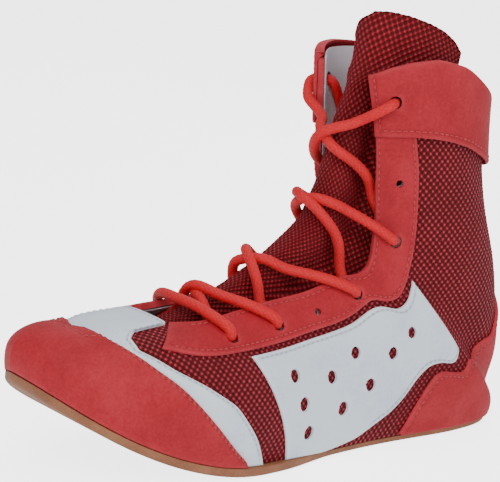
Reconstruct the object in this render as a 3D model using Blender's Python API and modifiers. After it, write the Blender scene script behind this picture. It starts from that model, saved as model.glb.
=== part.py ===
"""Left boxing boot, toe towards -Y, outer (lateral) side towards +X, sole bottom at Z = 0."""

import math

import bmesh
import bpy
import numpy as np
from mathutils import Matrix, Vector

for old in list(bpy.data.objects):
    bpy.data.objects.remove(old)

# ---------------------------------------------------------------- driving dimensions, in millimetres
TOE_SPRING = 46.0  # how far the sole's tip is off the floor
FLEX_LINE = 168.0  # from the heel, where the sole starts to rise
TOE_LENGTH = 281.0  # from the heel to the sole's tip
TOE_INSET = 7.0  # how far the toe curves to the inner side
ORIGIN_FROM_HEEL = 100.0  # where the row's origin sits on the flat part of the sole
SOLE_FOREFOOT = 4.5  # sole thickness at the ball
SOLE_ARCH = 3.0  # sole thickness at the arch and heel
SEAM_GAP = 0.25  # each half of a pair keeps this far from the back line
FEATHER_GAP = 1.0  # the upper's lower edge above the sole
SOLE_RIM = 2.8  # how far the sole's edge lies inside the reference surface at the forefoot
SOLE_INSET = 6.0  # the same at the arch and heel
LINING = (-8.4, 0.8)  # inner face against the reference surface, and thickness
MIDDLE = (-6.6, 0.8)  # mesh and stiffeners
COVER = (-5.2, 1.0)  # leather overlays
OUTER = (-3.6, 1.0)  # overlays on top of overlays
PUFF_THICKNESS = 2.2
EYELET = 7.4  # punched hole across, where the cord goes through
EYELET_EMPTY = 4.0  # the same where no cord goes through
LACE = 4.2  # cord across
AGLET = 3.4  # lace tip across
AGLET_LENGTH = 14.0
FLARE = (8.0, -7.0, 7.0)  # how far the inner flap's front edge stands off the tongue: forward, inward, up
TONGUE_THICKNESS = 2.0
TONGUE_SWING = 5.0  # how far the tongue swings inwards about its sewn front edge, in degrees
TONGUE_LINING_THICKNESS = 0.6
BOARD_THICKNESS = 1.5
SOCK_THICKNESS = 2.6

TOE_POINT = (245.0, 67.0)  # where the toe cap's rays meet, from the heel and above the floor

# Stations of the reference surface: front line (from heel, height), lower end (from heel),
# its half widths to the outer and inner side, and its height where it isn't the sole's edge.
STATIONS = [
    (*TOE_POINT, 276.0, 0.0, 0.0, None),
    (*TOE_POINT, 272.0, 17.0, 13.0, None),
    (*TOE_POINT, 260.0, 33.0, 27.0, None),
    (*TOE_POINT, 240.0, 43.0, 36.0, None),
    (229.0, 70.0, 213.0, 49.0, 42.0, None),
    (211.0, 72.0, 184.0, 51.0, 43.0, None),
    (193.0, 75.0, 155.0, 47.5, 38.0, None),
    (176.0, 79.0, 125.0, 41.0, 31.0, None),
    (160.0, 84.0, 96.0, 36.0, 29.0, None),
    (145.0, 90.0, 68.0, 33.5, 31.0, None),
    (132.0, 97.5, 42.0, 32.0, 31.0, None),
    (121.0, 106.5, 19.0, 27.5, 27.5, None),
    (116.5, 113.0, 5.0, 21.0, 21.0, None),
    (113.5, 119.0, -2.0, 12.0, 12.0, None),
    (111.0, 125.0, -5.0, 0.0, 0.0, None),
    (109.5, 131.0, -7.2, 0.0, 0.0, 18.0),
    (108.0, 139.0, -8.3, 0.0, 0.0, 38.0),
    (107.0, 150.0, -3.0, 0.0, 0.0, 74.0),
    (107.0, 161.0, 8.0, 0.0, 0.0, 106.0),
    (108.0, 172.0, 14.0, 0.0, 0.0, 135.0),
    (109.0, 183.0, 15.5, 0.0, 0.0, 161.0),
    (109.0, 197.0, 15.5, 0.0, 0.0, 180.0),
    (108.0, 209.0, 15.5, 0.0, 0.0, 190.0),
    (106.0, 220.0, 15.5, 0.0, 0.0, 198.0),
]
FAN_LAST = 3  # the last station whose ray starts at the toe point
FOOT_LAST = 10  # the last station that crosses the foot; later ones turn into the shaft
HEEL_LAST = 14  # the last station that ends on the sole's edge
SHAFT_WIDTHS = [33.0, 34.5, 35.5, 36.5, 37.5, 38.5, 39.5, 39.5, 38.5, 38.0, 38.0, 37.0, 36.0]
HEEL_BULGE = [
    (22.0, 35.0, 19.0),
    (6.0, 32.5, 17.0),
    (-3.0, 28.5, 15.0),
    (-7.0, 25.0, 15.0),
    (-8.0, 27.0, 9.5),
    (-8.5, 30.0, 2.0),
]

# Outlines on the reference surface: (station, share of the girth from the front line to the lower end).
CAP_TOP = [(5.12, 0.975), (4.85, 0.912), (4.47, 0.785), (4.09, 0.655), (3.69, 0.552), (3.37, 0.43),
           (3.11, 0.3), (3.02, 0.15), (3.0, 0.0)]
CAP_FOOT = [(5.16, 1.0), (4.92, 1.0), (4.55, 1.0), (4.25, 1.0), (3.9, 1.0), (3.6, 1.0), (3.35, 1.0),
            (3.15, 1.0), (3.0, 1.0)]
STRIP_TOP = [(5.52, 1.0), (5.38, 0.88), (5.09, 0.722), (4.62, 0.622), (4.07, 0.53), (3.62, 0.4)]
STRIP_UNDER = [(5.0, 1.0), (4.7, 0.88), (4.36, 0.765), (3.96, 0.63), (3.55, 0.53), (3.24, 0.42)]
TAB_SIDE = [(3.62, 0.4), (3.75, 0.27), (4.1, 0.19), (4.6, 0.175), (5.05, 0.17)]
EYESTAY_INNER = [(5.1, 0.17), (5.74, 0.225), (6.76, 0.235), (7.6, 0.26), (8.41, 0.291), (9.82, 0.33),
                 (11.08, 0.3), (12.49, 0.271), (14.83, 0.223), (17.07, 0.178), (19.23, 0.145), (19.8, 0.145)]
EYESTAY_OUTER = [(4.2, 0.37), (4.94, 0.449), (6.16, 0.469), (7.27, 0.484), (8.47, 0.484), (9.43, 0.481),
                 (10.93, 0.42), (13.54, 0.385), (15.16, 0.368), (16.62, 0.35), (18.03, 0.348), (19.3, 0.345)]
EYELETS = [(5.95, 0.381), (7.27, 0.401), (8.44, 0.411), (9.7, 0.42), (14.0, 0.318), (16.47, 0.283),
           (18.96, 0.263)]
EMPTY_HOLES = (2, 5)
COLLAR_TOP = [(19.55, 0.14), (20.1, 0.246), (20.45, 0.338), (20.76, 0.449), (20.75, 0.56), (20.45, 0.68),
              (20.15, 0.84), (20.05, 1.0)]
COLLAR_LOW = [(17.3, 0.172), (18.15, 0.331), (18.5, 0.42), (18.72, 0.504), (18.85, 0.6), (18.87, 0.709),
              (18.87, 0.85), (18.87, 1.0)]
COUNTER_EDGE = [(8.75, 0.985), (9.25, 0.885), (10.36, 0.75), (12.2, 0.68), (14.2, 0.68), (16.25, 0.8),
                (17.05, 1.0)]
COUNTER_FOOT = [(8.8, 1.0), (9.6, 1.0), (10.8, 1.0), (12.3, 1.0), (13.9, 1.0), (15.4, 1.0), (16.6, 1.0)]
SADDLE_TOP = [(6.02, 0.5), (7.0, 0.51), (8.0, 0.513), (9.0, 0.508), (10.0, 0.49), (11.1, 0.445),
              (12.9, 0.41)]
SADDLE_LOW = [(6.03, 1.0), (6.9, 1.0), (7.7, 0.97), (8.5, 0.9), (9.4, 0.8), (10.6, 0.7), (12.0, 0.63)]
VENTS = [(6.55, 0.9, 3.4), (6.62, 0.77, 3.4), (6.7, 0.64, 3.2), (7.5, 0.83, 3.4), (7.55, 0.69, 3.2),
         (8.35, 0.76, 3.2), (8.45, 0.62, 3.0), (9.3, 0.67, 3.0), (10.3, 0.59, 2.8)]
TONGUE_HALF = [(4.55, 0.1), (5.2, 0.2), (6.0, 0.3), (7.0, 0.37), (8.0, 0.41), (10.0, 0.43), (14.0, 0.41),
               (18.0, 0.4), (19.0, 0.43), (20.0, 0.5), (20.7, 0.53), (22.2, 0.52)]
TONGUE_SHIFT = [(4.55, 0.0), (18.6, 0.0), (20.5, 0.07), (22.16, 0.12)]
# How far the tongue's top edge drops, in stations, from its inner edge at -1 to its outer one at 1.
TONGUE_DROP = [(-1.0, 2.4), (-0.75, 1.8), (-0.55, 1.42), (-0.38, 1.06), (-0.2, 0.62), (0.0, 0.2), (0.2, 0.0),
               (0.4, -0.08), (0.6, -0.04), (0.75, 0.1), (0.88, 0.36), (1.0, 0.86)]
TONGUE_RISE = [(4.55, -9.1), (5.1, -9.0), (6.0, -7.0), (7.0, -3.5), (8.0, -0.5), (9.0, 1.5), (10.0, 3.0),
               (12.0, 5.0), (15.0, 6.0), (17.0, 5.0), (18.0, 2.0), (19.0, -3.0), (20.0, -8.0),
               (21.0, -9.5), (22.16, -10.5)]
TONGUE_TUCK = [(4.55, -9.2), (5.1, -10.0), (6.0, -14.4), (12.5, -14.6), (14.0, -16.0), (16.0, -16.4),
               (18.0, -14.4), (20.0, -12.5), (21.0, -12.3), (22.16, -12.0)]

COLOURS = {
    "leather": (0.55, 0.045, 0.05, 1.0),
    "mesh": (0.33, 0.012, 0.03, 1.0),
    "white": (0.80, 0.84, 0.88, 1.0),
    "lining": (0.60, 0.56, 0.62, 1.0),
    "gum": (0.42, 0.21, 0.10, 1.0),
    "board": (0.55, 0.45, 0.32, 1.0),
    "lace": (0.85, 0.06, 0.03, 1.0),
    "tip": (0.75, 0.08, 0.05, 1.0),
    "stiff": (0.72, 0.70, 0.64, 1.0),
}


# ---------------------------------------------------------------- reference surface
def smooth(value):
    value = np.clip(value, 0.0, 1.0)
    return value * value * (3.0 - 2.0 * value)


def sole_height(x):
    rise = np.clip((np.asarray(x, float) - FLEX_LINE) / (TOE_LENGTH - FLEX_LINE), 0.0, None)
    return TOE_SPRING * rise**2


def sole_thickness(x):
    blend = np.clip((np.asarray(x, float) - 110.0) / 50.0, 0.0, 1.0)
    return SOLE_ARCH + (SOLE_FOREFOOT - SOLE_ARCH) * blend * blend * (3.0 - 2.0 * blend)


def inward_curve(x):
    along = np.clip((np.asarray(x, float) - 120.0) / (TOE_LENGTH - 120.0), 0.0, None)
    return -TOE_INSET * along**2


def control_points():
    """Five control points for each station and each side."""
    rows = []
    for index, (front_x, front_z, low_x, outer, inner, low_z) in enumerate(STATIONS):
        pair = []
        for side, width in ((1.0, outer), (-1.0, inner)):
            z = low_z
            if low_z is None:
                z = float(sole_height(low_x) + sole_thickness(low_x)) + FEATHER_GAP
            front = np.array([front_x, 0.0, front_z])
            low = np.array([low_x, side * width, z])
            if index <= FAN_LAST:
                ray = (low - front) * [1.0, 1.0, 0.0]
                first = front + ray * 0.42 + [0.0, 0.0, 1.5]
                second = front + ray * 0.86 + [0.0, 0.0, -1.0]
                third = front + ray * 1.10
                third[2] = z + 11.0 + index * 2.0
            elif index <= FOOT_LAST:
                k = (index - 4.0) / 6.0
                height = front_z - z
                first = front + [0.0, side * (0.5 * width + 1.0 + 3.0 * k), 1.0]
                second = np.array([front_x * 0.55 + low_x * 0.45, side * (width * 1.02 + 3.0 + 4.0 * k),
                                   z + height * (0.95 - 0.15 * k)])
                third = np.array([front_x * 0.15 + low_x * 0.85, side * (width * 1.1 + 2.0 + 2.5 * k),
                                  z + height * (0.38 - 0.06 * k)])
            else:
                shaft = SHAFT_WIDTHS[index - FOOT_LAST - 1]
                first = front + [0.0, side * shaft * 0.62, 0.0]
                lift = 0.0 if index >= 16 else 4.0
                second = np.array([(front_x + low_x) / 2.0 + 6.0, side * shaft * 1.42,
                                   (front_z + z) / 2.0 + lift])
                third = np.array([low_x, side * shaft * 0.8, z])
                if index - FOOT_LAST - 1 < len(HEEL_BULGE):
                    bulge = HEEL_BULGE[index - FOOT_LAST - 1]
                    third = np.array([bulge[0], side * bulge[1], z + bulge[2]])
            pair.append([front, first, second, third, low])
        rows.append(pair)
    return np.array(rows)


def spline_bends(values):
    """Second derivatives of a natural cubic spline through equally spaced values."""
    count = len(values)
    system = np.eye(count)
    right = np.zeros_like(values)
    for i in range(1, count - 1):
        system[i, i - 1:i + 2] = (1.0, 4.0, 1.0)
        right[i] = 6.0 * (values[i - 1] - 2.0 * values[i] + values[i + 1])
    return np.linalg.solve(system, right)


CONTROL = control_points()
BENDS = spline_bends(CONTROL.reshape(len(CONTROL), -1)).reshape(CONTROL.shape)


def flare(station, share):
    """How the laced front of the inner flap leans off the tongue."""
    v = np.abs(share)
    across = smooth((v - 0.04) / 0.11) * (1.0 - smooth((v - 0.2) / 0.4))
    amount = np.where(share < 0.0, across * smooth((station - 12.0) / 4.5), 0.0)
    up = smooth((station - 16.5) / 3.0)
    return np.stack([amount * FLARE[0], amount * FLARE[1], amount * up * FLARE[2]], -1)


def surface(station, share, flared=True):
    """A point of the reference surface. A negative share is on the inner side."""
    station, share = np.broadcast_arrays(np.asarray(station, float), np.asarray(share, float))
    side = (share < 0.0).astype(int)
    v = np.clip(np.abs(share), 0.0, 1.0)
    u = np.clip(station, 0.0, len(CONTROL) - 1.0)
    i = np.minimum(u.astype(int), len(CONTROL) - 2)
    t = (u - i)[..., None, None]
    s = 1.0 - t
    points = s * CONTROL[i, side] + t * CONTROL[i + 1, side]
    points = points + ((s**3 - s) * BENDS[i, side] + (t**3 - t) * BENDS[i + 1, side]) / 6.0
    w = 1.0 - v
    weights = np.stack([w**4, 4 * w**3 * v, 6 * w * w * v * v, 4 * w * v**3, v**4], -1)
    found = (points * weights[..., None]).sum(-2)
    found[..., 1] += inward_curve(found[..., 0])
    if flared:
        found += flare(u, np.where(side > 0, -v, v))
    return found


def normal(station, share, flared=True, step=1e-3):
    """The outward direction, kept level near the lower edge."""
    station, share = np.broadcast_arrays(np.asarray(station, float), np.asarray(share, float))
    sign = np.where(share < 0.0, -1.0, 1.0)
    v = np.clip(np.abs(share), 0.03, 0.99)
    u = np.clip(station, 0.01, len(CONTROL) - 1.01)
    along = surface(u + step, sign * v, flared) - surface(u - step, sign * v, flared)
    across = surface(u, sign * (v + step), flared) - surface(u, sign * (v - step), flared)
    found = np.cross(across, along) * sign[..., None]
    found /= np.linalg.norm(found, axis=-1, keepdims=True)
    # At the toe point and on the front line the two sides share one direction.
    centre = np.clip(1.0 - np.abs(share) / 0.12, 0.0, 1.0)[..., None]
    level = found.copy()
    level[..., 1] = 0.0
    fan = (station < FAN_LAST + 0.5)[..., None]
    level = np.where(fan, np.array([-0.05, 0.0, 1.0]), level)
    found = found * (1.0 - centre) + level * centre
    low = np.clip((np.abs(share) - 0.8) / 0.2, 0.0, 1.0) * (station < HEEL_LAST + 0.5)
    found[..., 2] *= 1.0 - low
    back = np.clip((np.abs(share) - 0.94) / 0.06, 0.0, 1.0) * (station > HEEL_LAST - 0.01)
    found[..., 1] *= 1.0 - back
    found[..., 1] *= np.clip(station / 0.3, 0.0, 1.0)
    return found / np.linalg.norm(found, axis=-1, keepdims=True)


def layer(station, share, height):
    height = np.asarray(height, float)
    points = surface(station, share) + height[..., None] * normal(station, share)
    floor = sole_height(points[..., 0]) + sole_thickness(points[..., 0]) + 0.9 * FEATHER_GAP
    points[..., 2] = np.maximum(points[..., 2], floor)
    # Neither half crosses the middle of the heel.
    heel = np.asarray(station) > HEEL_LAST - 1.0
    side = np.where(np.asarray(share) < 0.0, -1.0, 1.0)
    least = np.where(np.abs(share) < 1.0, SEAM_GAP, 0.0)
    points[..., 1] = np.where(heel, side * np.maximum(side * points[..., 1], least), points[..., 1])
    return points


def to_row(points):
    """From heel-based millimetres to the row's metres."""
    points = np.asarray(points, float)
    turned = np.stack([points[..., 1], ORIGIN_FROM_HEEL - points[..., 0], points[..., 2]], -1)
    return turned / 1000.0


def read(table, at):
    table = np.array(table)
    return np.interp(at, table[:, 0], table[:, 1])


# ---------------------------------------------------------------- building blocks
def material(name, colour, roughness=0.7):
    found = bpy.data.materials.new(name)
    found.use_nodes = True
    shader = found.node_tree.nodes["Principled BSDF"]
    shader.inputs["Base Color"].default_value = COLOURS[colour]
    shader.inputs["Roughness"].default_value = roughness
    found.diffuse_color = COLOURS[colour]
    return found


def new_object(name, mesh, colour):
    obj = bpy.data.objects.new(name, mesh)
    bpy.context.scene.collection.objects.link(obj)
    mesh.materials.append(material(name, colour))
    return obj


def grid_mesh(name, grids):
    """An open quad surface through one or more grids of points, joined where they meet."""
    build = bmesh.new()
    for points in grids:
        rows, columns = points.shape[:2]
        made = [[build.verts.new(points[i, j]) for j in range(columns)] for i in range(rows)]
        for i in range(rows - 1):
            for j in range(columns - 1):
                build.faces.new((made[i][j], made[i + 1][j], made[i + 1][j + 1], made[i][j + 1]))
    bmesh.ops.remove_doubles(build, verts=build.verts, dist=0.0002)
    bmesh.ops.dissolve_degenerate(build, edges=build.edges, dist=0.00001)
    bmesh.ops.recalc_face_normals(build, faces=build.faces)
    mesh = bpy.data.meshes.new(name)
    build.to_mesh(mesh)
    build.free()
    return mesh


def resample(edge, count):
    """Points spread evenly along an outline given by a few corners."""
    edge = np.array(edge, float)
    steps = np.diff(edge, axis=0) * [1.0, 6.0]
    run = np.concatenate([[0.0], np.cumsum(np.linalg.norm(steps, axis=1))])
    want = np.linspace(0.0, 1.0, count) * run[-1]
    return np.stack([np.interp(want, run, edge[:, k]) for k in range(2)], -1)


def between(first, second, across):
    """The grid of (station, share) between two outlines with the same number of points."""
    t = np.linspace(0.0, 1.0, across)[None, :, None]
    return first[:, None, :] * (1.0 - t) + second[:, None, :] * t


def shell(name, domains, level, colour):
    """A panel laid on the reference surface and given its thickness outwards."""
    height, thickness = level
    grids = [to_row(layer(d[..., 0], d[..., 1], np.full(d.shape[:2], height))) for d in domains]
    obj = new_object(name, grid_mesh(name, grids), colour)
    centre = domains[0][domains[0].shape[0] // 2, domains[0].shape[1] // 2]
    spot = to_row(layer(centre[0], centre[1], height))
    away = to_row(layer(centre[0], centre[1], height + 1.0)) - spot
    nearest = min(obj.data.polygons, key=lambda face: (face.center - Vector(spot)).length)
    solid = obj.modifiers.new("thickness", "SOLIDIFY")
    solid.thickness = thickness / 1000.0
    solid.offset = 1.0 if nearest.normal.dot(Vector(away)) > 0.0 else -1.0
    weld = obj.modifiers.new("weld", "WELD")
    weld.merge_threshold = 0.00005
    return obj


def mirrored(domain):
    other = domain.copy()
    other[..., 1] = -np.maximum(other[..., 1], 1e-6)
    return other


def joined(*runs):
    """An outline through several runs of corners, each resampled to its own number of points."""
    pieces = [resample(corners, count) for corners, count in runs]
    return np.concatenate([pieces[0]] + [piece[1:] for piece in pieces[1:]])


# ---------------------------------------------------------------- lasted bottom
def bottom_outline(inset, count=34):
    """Outer and inner points of the sole's outline, from the toe to the heel."""
    steps = 0.5 - 0.5 * np.cos(np.linspace(0.0, math.pi, count))
    station = steps * HEEL_LAST
    pairs = []
    for side in (1.0, -1.0):
        points = surface(station, side * np.ones(count))
        out = normal(station, side * np.ones(count))
        out[..., 2] = 0.0
        out /= np.linalg.norm(out, axis=-1, keepdims=True)
        reach = inset(points[:, 0])
        pairs.append(points - out * reach[:, None])
    # Both ends of the outline are one point.
    for end in (0, -1):
        shared = (pairs[0][end] + pairs[1][end]) / 2.0
        pairs[0][end] = shared
        pairs[1][end] = shared
    return pairs


def closed_sheet(name, inset, low, thickness, colour, across=6, count=28):
    """A closed sheet between two curved faces with the same outline."""
    outer, inner = bottom_outline(inset, count)
    t = np.linspace(0.0, 1.0, across)[None, :, None]
    plan = outer[:, None, :] * (1.0 - t) + inner[:, None, :] * t
    under = plan.copy()
    under[..., 2] = low(plan[..., 0])
    over = plan.copy()
    over[..., 2] = under[..., 2] + thickness(plan[..., 0])
    build = bmesh.new()
    rows, columns = plan.shape[:2]
    grids = []
    for grid in (to_row(under), to_row(over)):
        grids.append([[build.verts.new(grid[i, j]) for j in range(columns)] for i in range(rows)])
    for grid in grids:
        for i in range(rows - 1):
            for j in range(columns - 1):
                build.faces.new((grid[i][j], grid[i + 1][j], grid[i + 1][j + 1], grid[i][j + 1]))
    for j in (0, columns - 1):
        for i in range(rows - 1):
            build.faces.new((grids[0][i][j], grids[0][i + 1][j], grids[1][i + 1][j], grids[1][i][j]))
    bmesh.ops.remove_doubles(build, verts=build.verts, dist=0.00004)
    bmesh.ops.dissolve_degenerate(build, edges=build.edges, dist=0.00001)
    bmesh.ops.recalc_face_normals(build, faces=build.faces)
    if build.calc_volume(signed=True) < 0.0:
        bmesh.ops.reverse_faces(build, faces=build.faces)
    mesh = bpy.data.meshes.new(name)
    build.to_mesh(mesh)
    build.free()
    return new_object(name, mesh, colour)


def sole_inset(x):
    blend = np.clip((np.asarray(x, float) - 118.0) / 40.0, 0.0, 1.0)
    return SOLE_INSET + (SOLE_RIM - SOLE_INSET) * blend * blend * (3.0 - 2.0 * blend)


def flat_inset(value):
    return lambda x: np.full(np.shape(x), value)


def above_sole(gap):
    return lambda x: sole_height(x) + sole_thickness(x) + gap


closed_sheet("outsole", sole_inset, sole_height, sole_thickness, "gum")
closed_sheet("lasting_board", flat_inset(10.0), above_sole(0.4), flat_inset(BOARD_THICKNESS), "board", 5, 22)
closed_sheet("sock_liner", flat_inset(10.4), above_sole(0.8 + BOARD_THICKNESS), flat_inset(SOCK_THICKNESS),
             "lining", 5, 22)


# ---------------------------------------------------------------- upper: toe
def toe_shell(name, top, foot, tip_share, level, colour, side_count=12, fan_count=9, across=9):
    """A panel over the toe: rays from the lower edge to its top edge, from one side to the other."""
    fan = np.linspace(FAN_LAST, 0.0, fan_count)[1:]
    fan_top = np.stack([fan, np.full(fan.shape, tip_share)], -1)
    fan_foot = np.stack([fan, np.ones_like(fan)], -1)
    tops = np.concatenate([resample(top, side_count), fan_top])
    feet = np.concatenate([resample(foot, side_count), fan_foot])
    half = between(feet, tops, across)
    return shell(name, [half, mirrored(half)], level, colour)


toe_shell("toe_cap", CAP_TOP, CAP_FOOT, 0.0, OUTER, "leather")
PUFF_TOP = [(3.9, 0.97), (3.7, 0.86), (3.45, 0.72), (3.25, 0.6), (3.1, 0.48), (3.0, 0.36)]
PUFF_FOOT = [(3.95, 1.0), (3.7, 1.0), (3.5, 1.0), (3.3, 1.0), (3.15, 1.0), (3.0, 1.0)]
toe_shell("toe_puff", PUFF_TOP, PUFF_FOOT, 0.36, (MIDDLE[0], PUFF_THICKNESS), "stiff", 7, 9, 6)
toe_shell("vamp_lining", [(5.05, 0.0), (3.0, 0.0)], [(5.05, 1.0), (3.0, 1.0)], 0.0, LINING, "lining", 6, 8,
          10)

strip_front = joined((STRIP_UNDER, 9), ([STRIP_UNDER[-1], (3.0, 0.29), (2.95, 0.17)], 7),
                     ([(2.95, 0.17), (3.0, 0.0)], 4))
strip_back = joined((STRIP_TOP, 9), (TAB_SIDE, 7), ([TAB_SIDE[-1], (5.12, 0.0)], 4))
strip = between(strip_front, strip_back, 6)
shell("vamp_strip", [strip, mirrored(strip)], COVER, "white")


# ---------------------------------------------------------------- upper: sides
def rows_domain(first, last, top, low, columns, rows):
    """A domain whose ends depend on the row and whose top and low edges depend on the station."""
    r = np.linspace(0.0, 1.0, rows)[None, :]
    c = np.linspace(0.0, 1.0, columns)[:, None]
    station = read(first, r) * (1.0 - c) + read(last, r) * c
    share = read(top, station) * (1.0 - r) + read(low, station) * r
    return np.stack([station, share], -1)


VAMP_START = [(0.0, 4.3), (0.06, 3.95), (0.16, 3.62), (0.3, 3.56), (0.42, 3.88), (0.55, 4.35), (0.7, 4.78),
              (0.86, 5.06), (1.0, 5.26)]
vamp = rows_domain(VAMP_START, [(0.0, 6.32), (1.0, 6.32)],
                   [(3.5, 0.19), (4.3, 0.15), (5.05, 0.155), (5.2, 0.195), (5.74, 0.24), (6.32, 0.25)],
                   [(0.0, 1.0)], 10, 13)
MESH_LOW = [(8.9, 1.0), (9.3, 0.95), (10.36, 0.81), (12.2, 0.74), (14.2, 0.74), (16.2, 0.86), (16.6, 0.93),
            (16.9, 1.0)]
QUARTER_TOP = [(station, share - 0.025) for station, share in EYESTAY_OUTER if station > 6.0]
quarter = rows_domain([(0.0, 6.42), (1.0, 6.42)], [(0.0, 18.45), (0.3, 18.95), (0.5, 19.15), (1.0, 19.2)],
                      QUARTER_TOP, MESH_LOW, 32, 9)
quarter_lining = rows_domain([(0.0, 5.16), (1.0, 5.16)],
                             [(0.0, 19.45), (0.13, 20.0), (0.25, 20.35), (0.36, 20.65), (0.5, 20.6),
                              (0.65, 20.3), (0.8, 20.0), (1.0, 19.9)],
                             [(station, share + 0.012) for station, share in EYESTAY_INNER],
                             [(0.0, 1.0)], 32, 12)


def trimmed(domain):
    """The same domain kept a little off the back line, so that two halves leave a seam."""
    kept = domain.copy()
    most = 1.0 - 0.0028 * np.clip((kept[..., 0] - HEEL_LAST + 0.5) / 0.5, 0.0, 1.0)
    kept[..., 1] = np.minimum(kept[..., 1], most)
    return kept


quarter = trimmed(quarter)
quarter_lining = trimmed(quarter_lining)
SIDES = (("lateral", 1.0), ("medial", -1.0))


def on_side(domain, sign):
    return domain if sign > 0.0 else mirrored(domain)


eyestay = between(joined((EYESTAY_INNER, 32)), joined((EYESTAY_OUTER, 32)), 4)
collar = between(joined((COLLAR_TOP, 15)), joined((COLLAR_LOW, 15)), 5)
counter = between(joined((COUNTER_FOOT, 18)), joined((COUNTER_EDGE, 18)), 6)
saddle = between(joined((SADDLE_TOP, 16)), joined((SADDLE_LOW, 16)), 8)
STIFF_EDGE = [(9.75, 0.97), (10.5, 0.89), (12.2, 0.81), (14.2, 0.81), (15.7, 0.92), (16.0, 1.0)]
STIFF_FOOT = [(9.8, 1.0), (10.8, 1.0), (12.2, 1.0), (13.8, 1.0), (15.2, 1.0), (15.9, 1.0)]
stiffener = between(joined((STIFF_FOOT, 14)), joined((STIFF_EDGE, 14)), 5)

shells = {}
for side, sign in SIDES:
    shells["vamp_mesh_" + side] = shell("vamp_mesh_" + side, [on_side(vamp, sign)], MIDDLE, "mesh")
    shells["quarter_mesh_" + side] = shell("quarter_mesh_" + side, [on_side(quarter, sign)], MIDDLE, "mesh")
    shells["quarter_lining_" + side] = shell("quarter_lining_" + side, [on_side(quarter_lining, sign)],
                                             LINING, "lining")
    shells["eyestay_" + side] = shell("eyestay_" + side, [on_side(eyestay, sign)], COVER, "leather")
    shells["side_panel_" + side] = shell("side_panel_" + side, [on_side(saddle, sign)], COVER, "white")
shells["collar_band"] = shell("collar_band", [collar, mirrored(collar)], OUTER, "leather")
shell("heel_cover", [counter, mirrored(counter)], COVER, "leather")
shell("heel_stiffener", [stiffener, mirrored(stiffener)], (MIDDLE[0], 0.6),
      "stiff")


# ---------------------------------------------------------------- punched holes
def along_surface(station, share, height):
    return Vector(to_row(layer(station, share, height)))


def punch(name, station, share, radius, low, high, targets):
    """A round cutter square to the surface, and a Boolean on each layer it goes through."""
    inner = along_surface(station, share, low)
    outer = along_surface(station, share, high)
    bpy.ops.mesh.primitive_cylinder_add(vertices=10, radius=radius / 1000.0, depth=(outer - inner).length)
    cutter = bpy.context.object
    cutter.name = name
    cutter.matrix_world = Matrix.Translation((inner + outer) / 2.0) @ (
        (outer - inner).to_track_quat("Z", "Y").to_matrix().to_4x4())
    cutter.hide_render = True
    cutter.display_type = "WIRE"
    for target in targets:
        hole = shells[target].modifiers.new(name, "BOOLEAN")
        hole.operation = "DIFFERENCE"
        hole.solver = "EXACT"
        hole.object = cutter


for side, sign in SIDES:
    for index, (station, share) in enumerate(EYELETS):
        through = ["eyestay_" + side, "quarter_lining_" + side]
        if index == 0:
            through.append("vamp_mesh_" + side)
        if index == len(EYELETS) - 1:
            through.append("collar_band")
        across = EYELET_EMPTY if index in EMPTY_HOLES else EYELET
        punch("cut_eyelet_%s_%d" % (side, index), station, sign * share, across / 2.0, -11.0, 0.0, through)
    for index, (station, share, radius) in enumerate(VENTS):
        punch("cut_vent_%s_%d" % (side, index), station, sign * share, radius, -5.6, -3.0,
              ["side_panel_" + side])


# ---------------------------------------------------------------- tongue
def tongue_height(station, share):
    """How high the tongue's outer face lies over the reference surface."""
    tied = read(EYESTAY_INNER, station)
    free = smooth((station - 18.6) / 1.6)
    gap = tied * (1.0 - free) + 0.5 * free
    tucked = smooth((np.abs(share) / gap - 0.2) / 0.6)
    return read(TONGUE_RISE, station) * (1.0 - tucked) + read(TONGUE_TUCK, station) * tucked


def tongue_station(station, across):
    """Where the tongue's long lines lie: towards the top they bend down at both edges."""
    return station - read(TONGUE_DROP, across) * smooth((station - 16.0) / 6.16)


def tongue_share(station, across):
    """Where the tongue's cross-lines lie: across runs from -1 on the inner edge to 1 on the outer one."""
    return across * read(TONGUE_HALF, station) + read(TONGUE_SHIFT, station)


def grid_normals(points):
    """Unit normals of a grid, facing away from the foot."""
    found = np.cross(np.gradient(points, axis=1), np.gradient(points, axis=0))
    found /= np.maximum(np.linalg.norm(found, axis=-1, keepdims=True), 1e-9)
    return found, points


def tongue_layer(name, level, thickness, colour, narrower=0.0):
    stations = np.concatenate([np.linspace(4.55, 8.0, 7), np.linspace(9.0, 19.0, 12),
                               np.array([19.7, 20.4, 21.0, 21.45, 21.8, 22.03, 22.16])])
    across = np.linspace(-1.0, 1.0, 11)
    across = np.sign(across) * np.abs(across) ** 1.15
    across = across * (1.0 - narrower)
    station = tongue_station(np.repeat(stations[:, None], len(across), 1), across[None, :])
    share = tongue_share(station, across[None, :])
    height = tongue_height(station, share)
    points = surface(station, share, False) + height[..., None] * normal(station, share, False)
    points = points + level * grid_normals(points)[0]
    obj = new_object(name, grid_mesh(name, [to_row(points)]), colour)
    middle = len(stations) // 2
    centre = Vector(to_row(points[middle, 5]))
    nearest = min(obj.data.polygons, key=lambda face: (face.center - centre).length)
    up = Vector(to_row(normal(stations[middle], 0.0))) - Vector(to_row(np.zeros(3)))
    solid = obj.modifiers.new("thickness", "SOLIDIFY")
    solid.thickness = thickness / 1000.0
    solid.offset = -1.0 if nearest.normal.dot(up) > 0.0 else 1.0
    return obj


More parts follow.
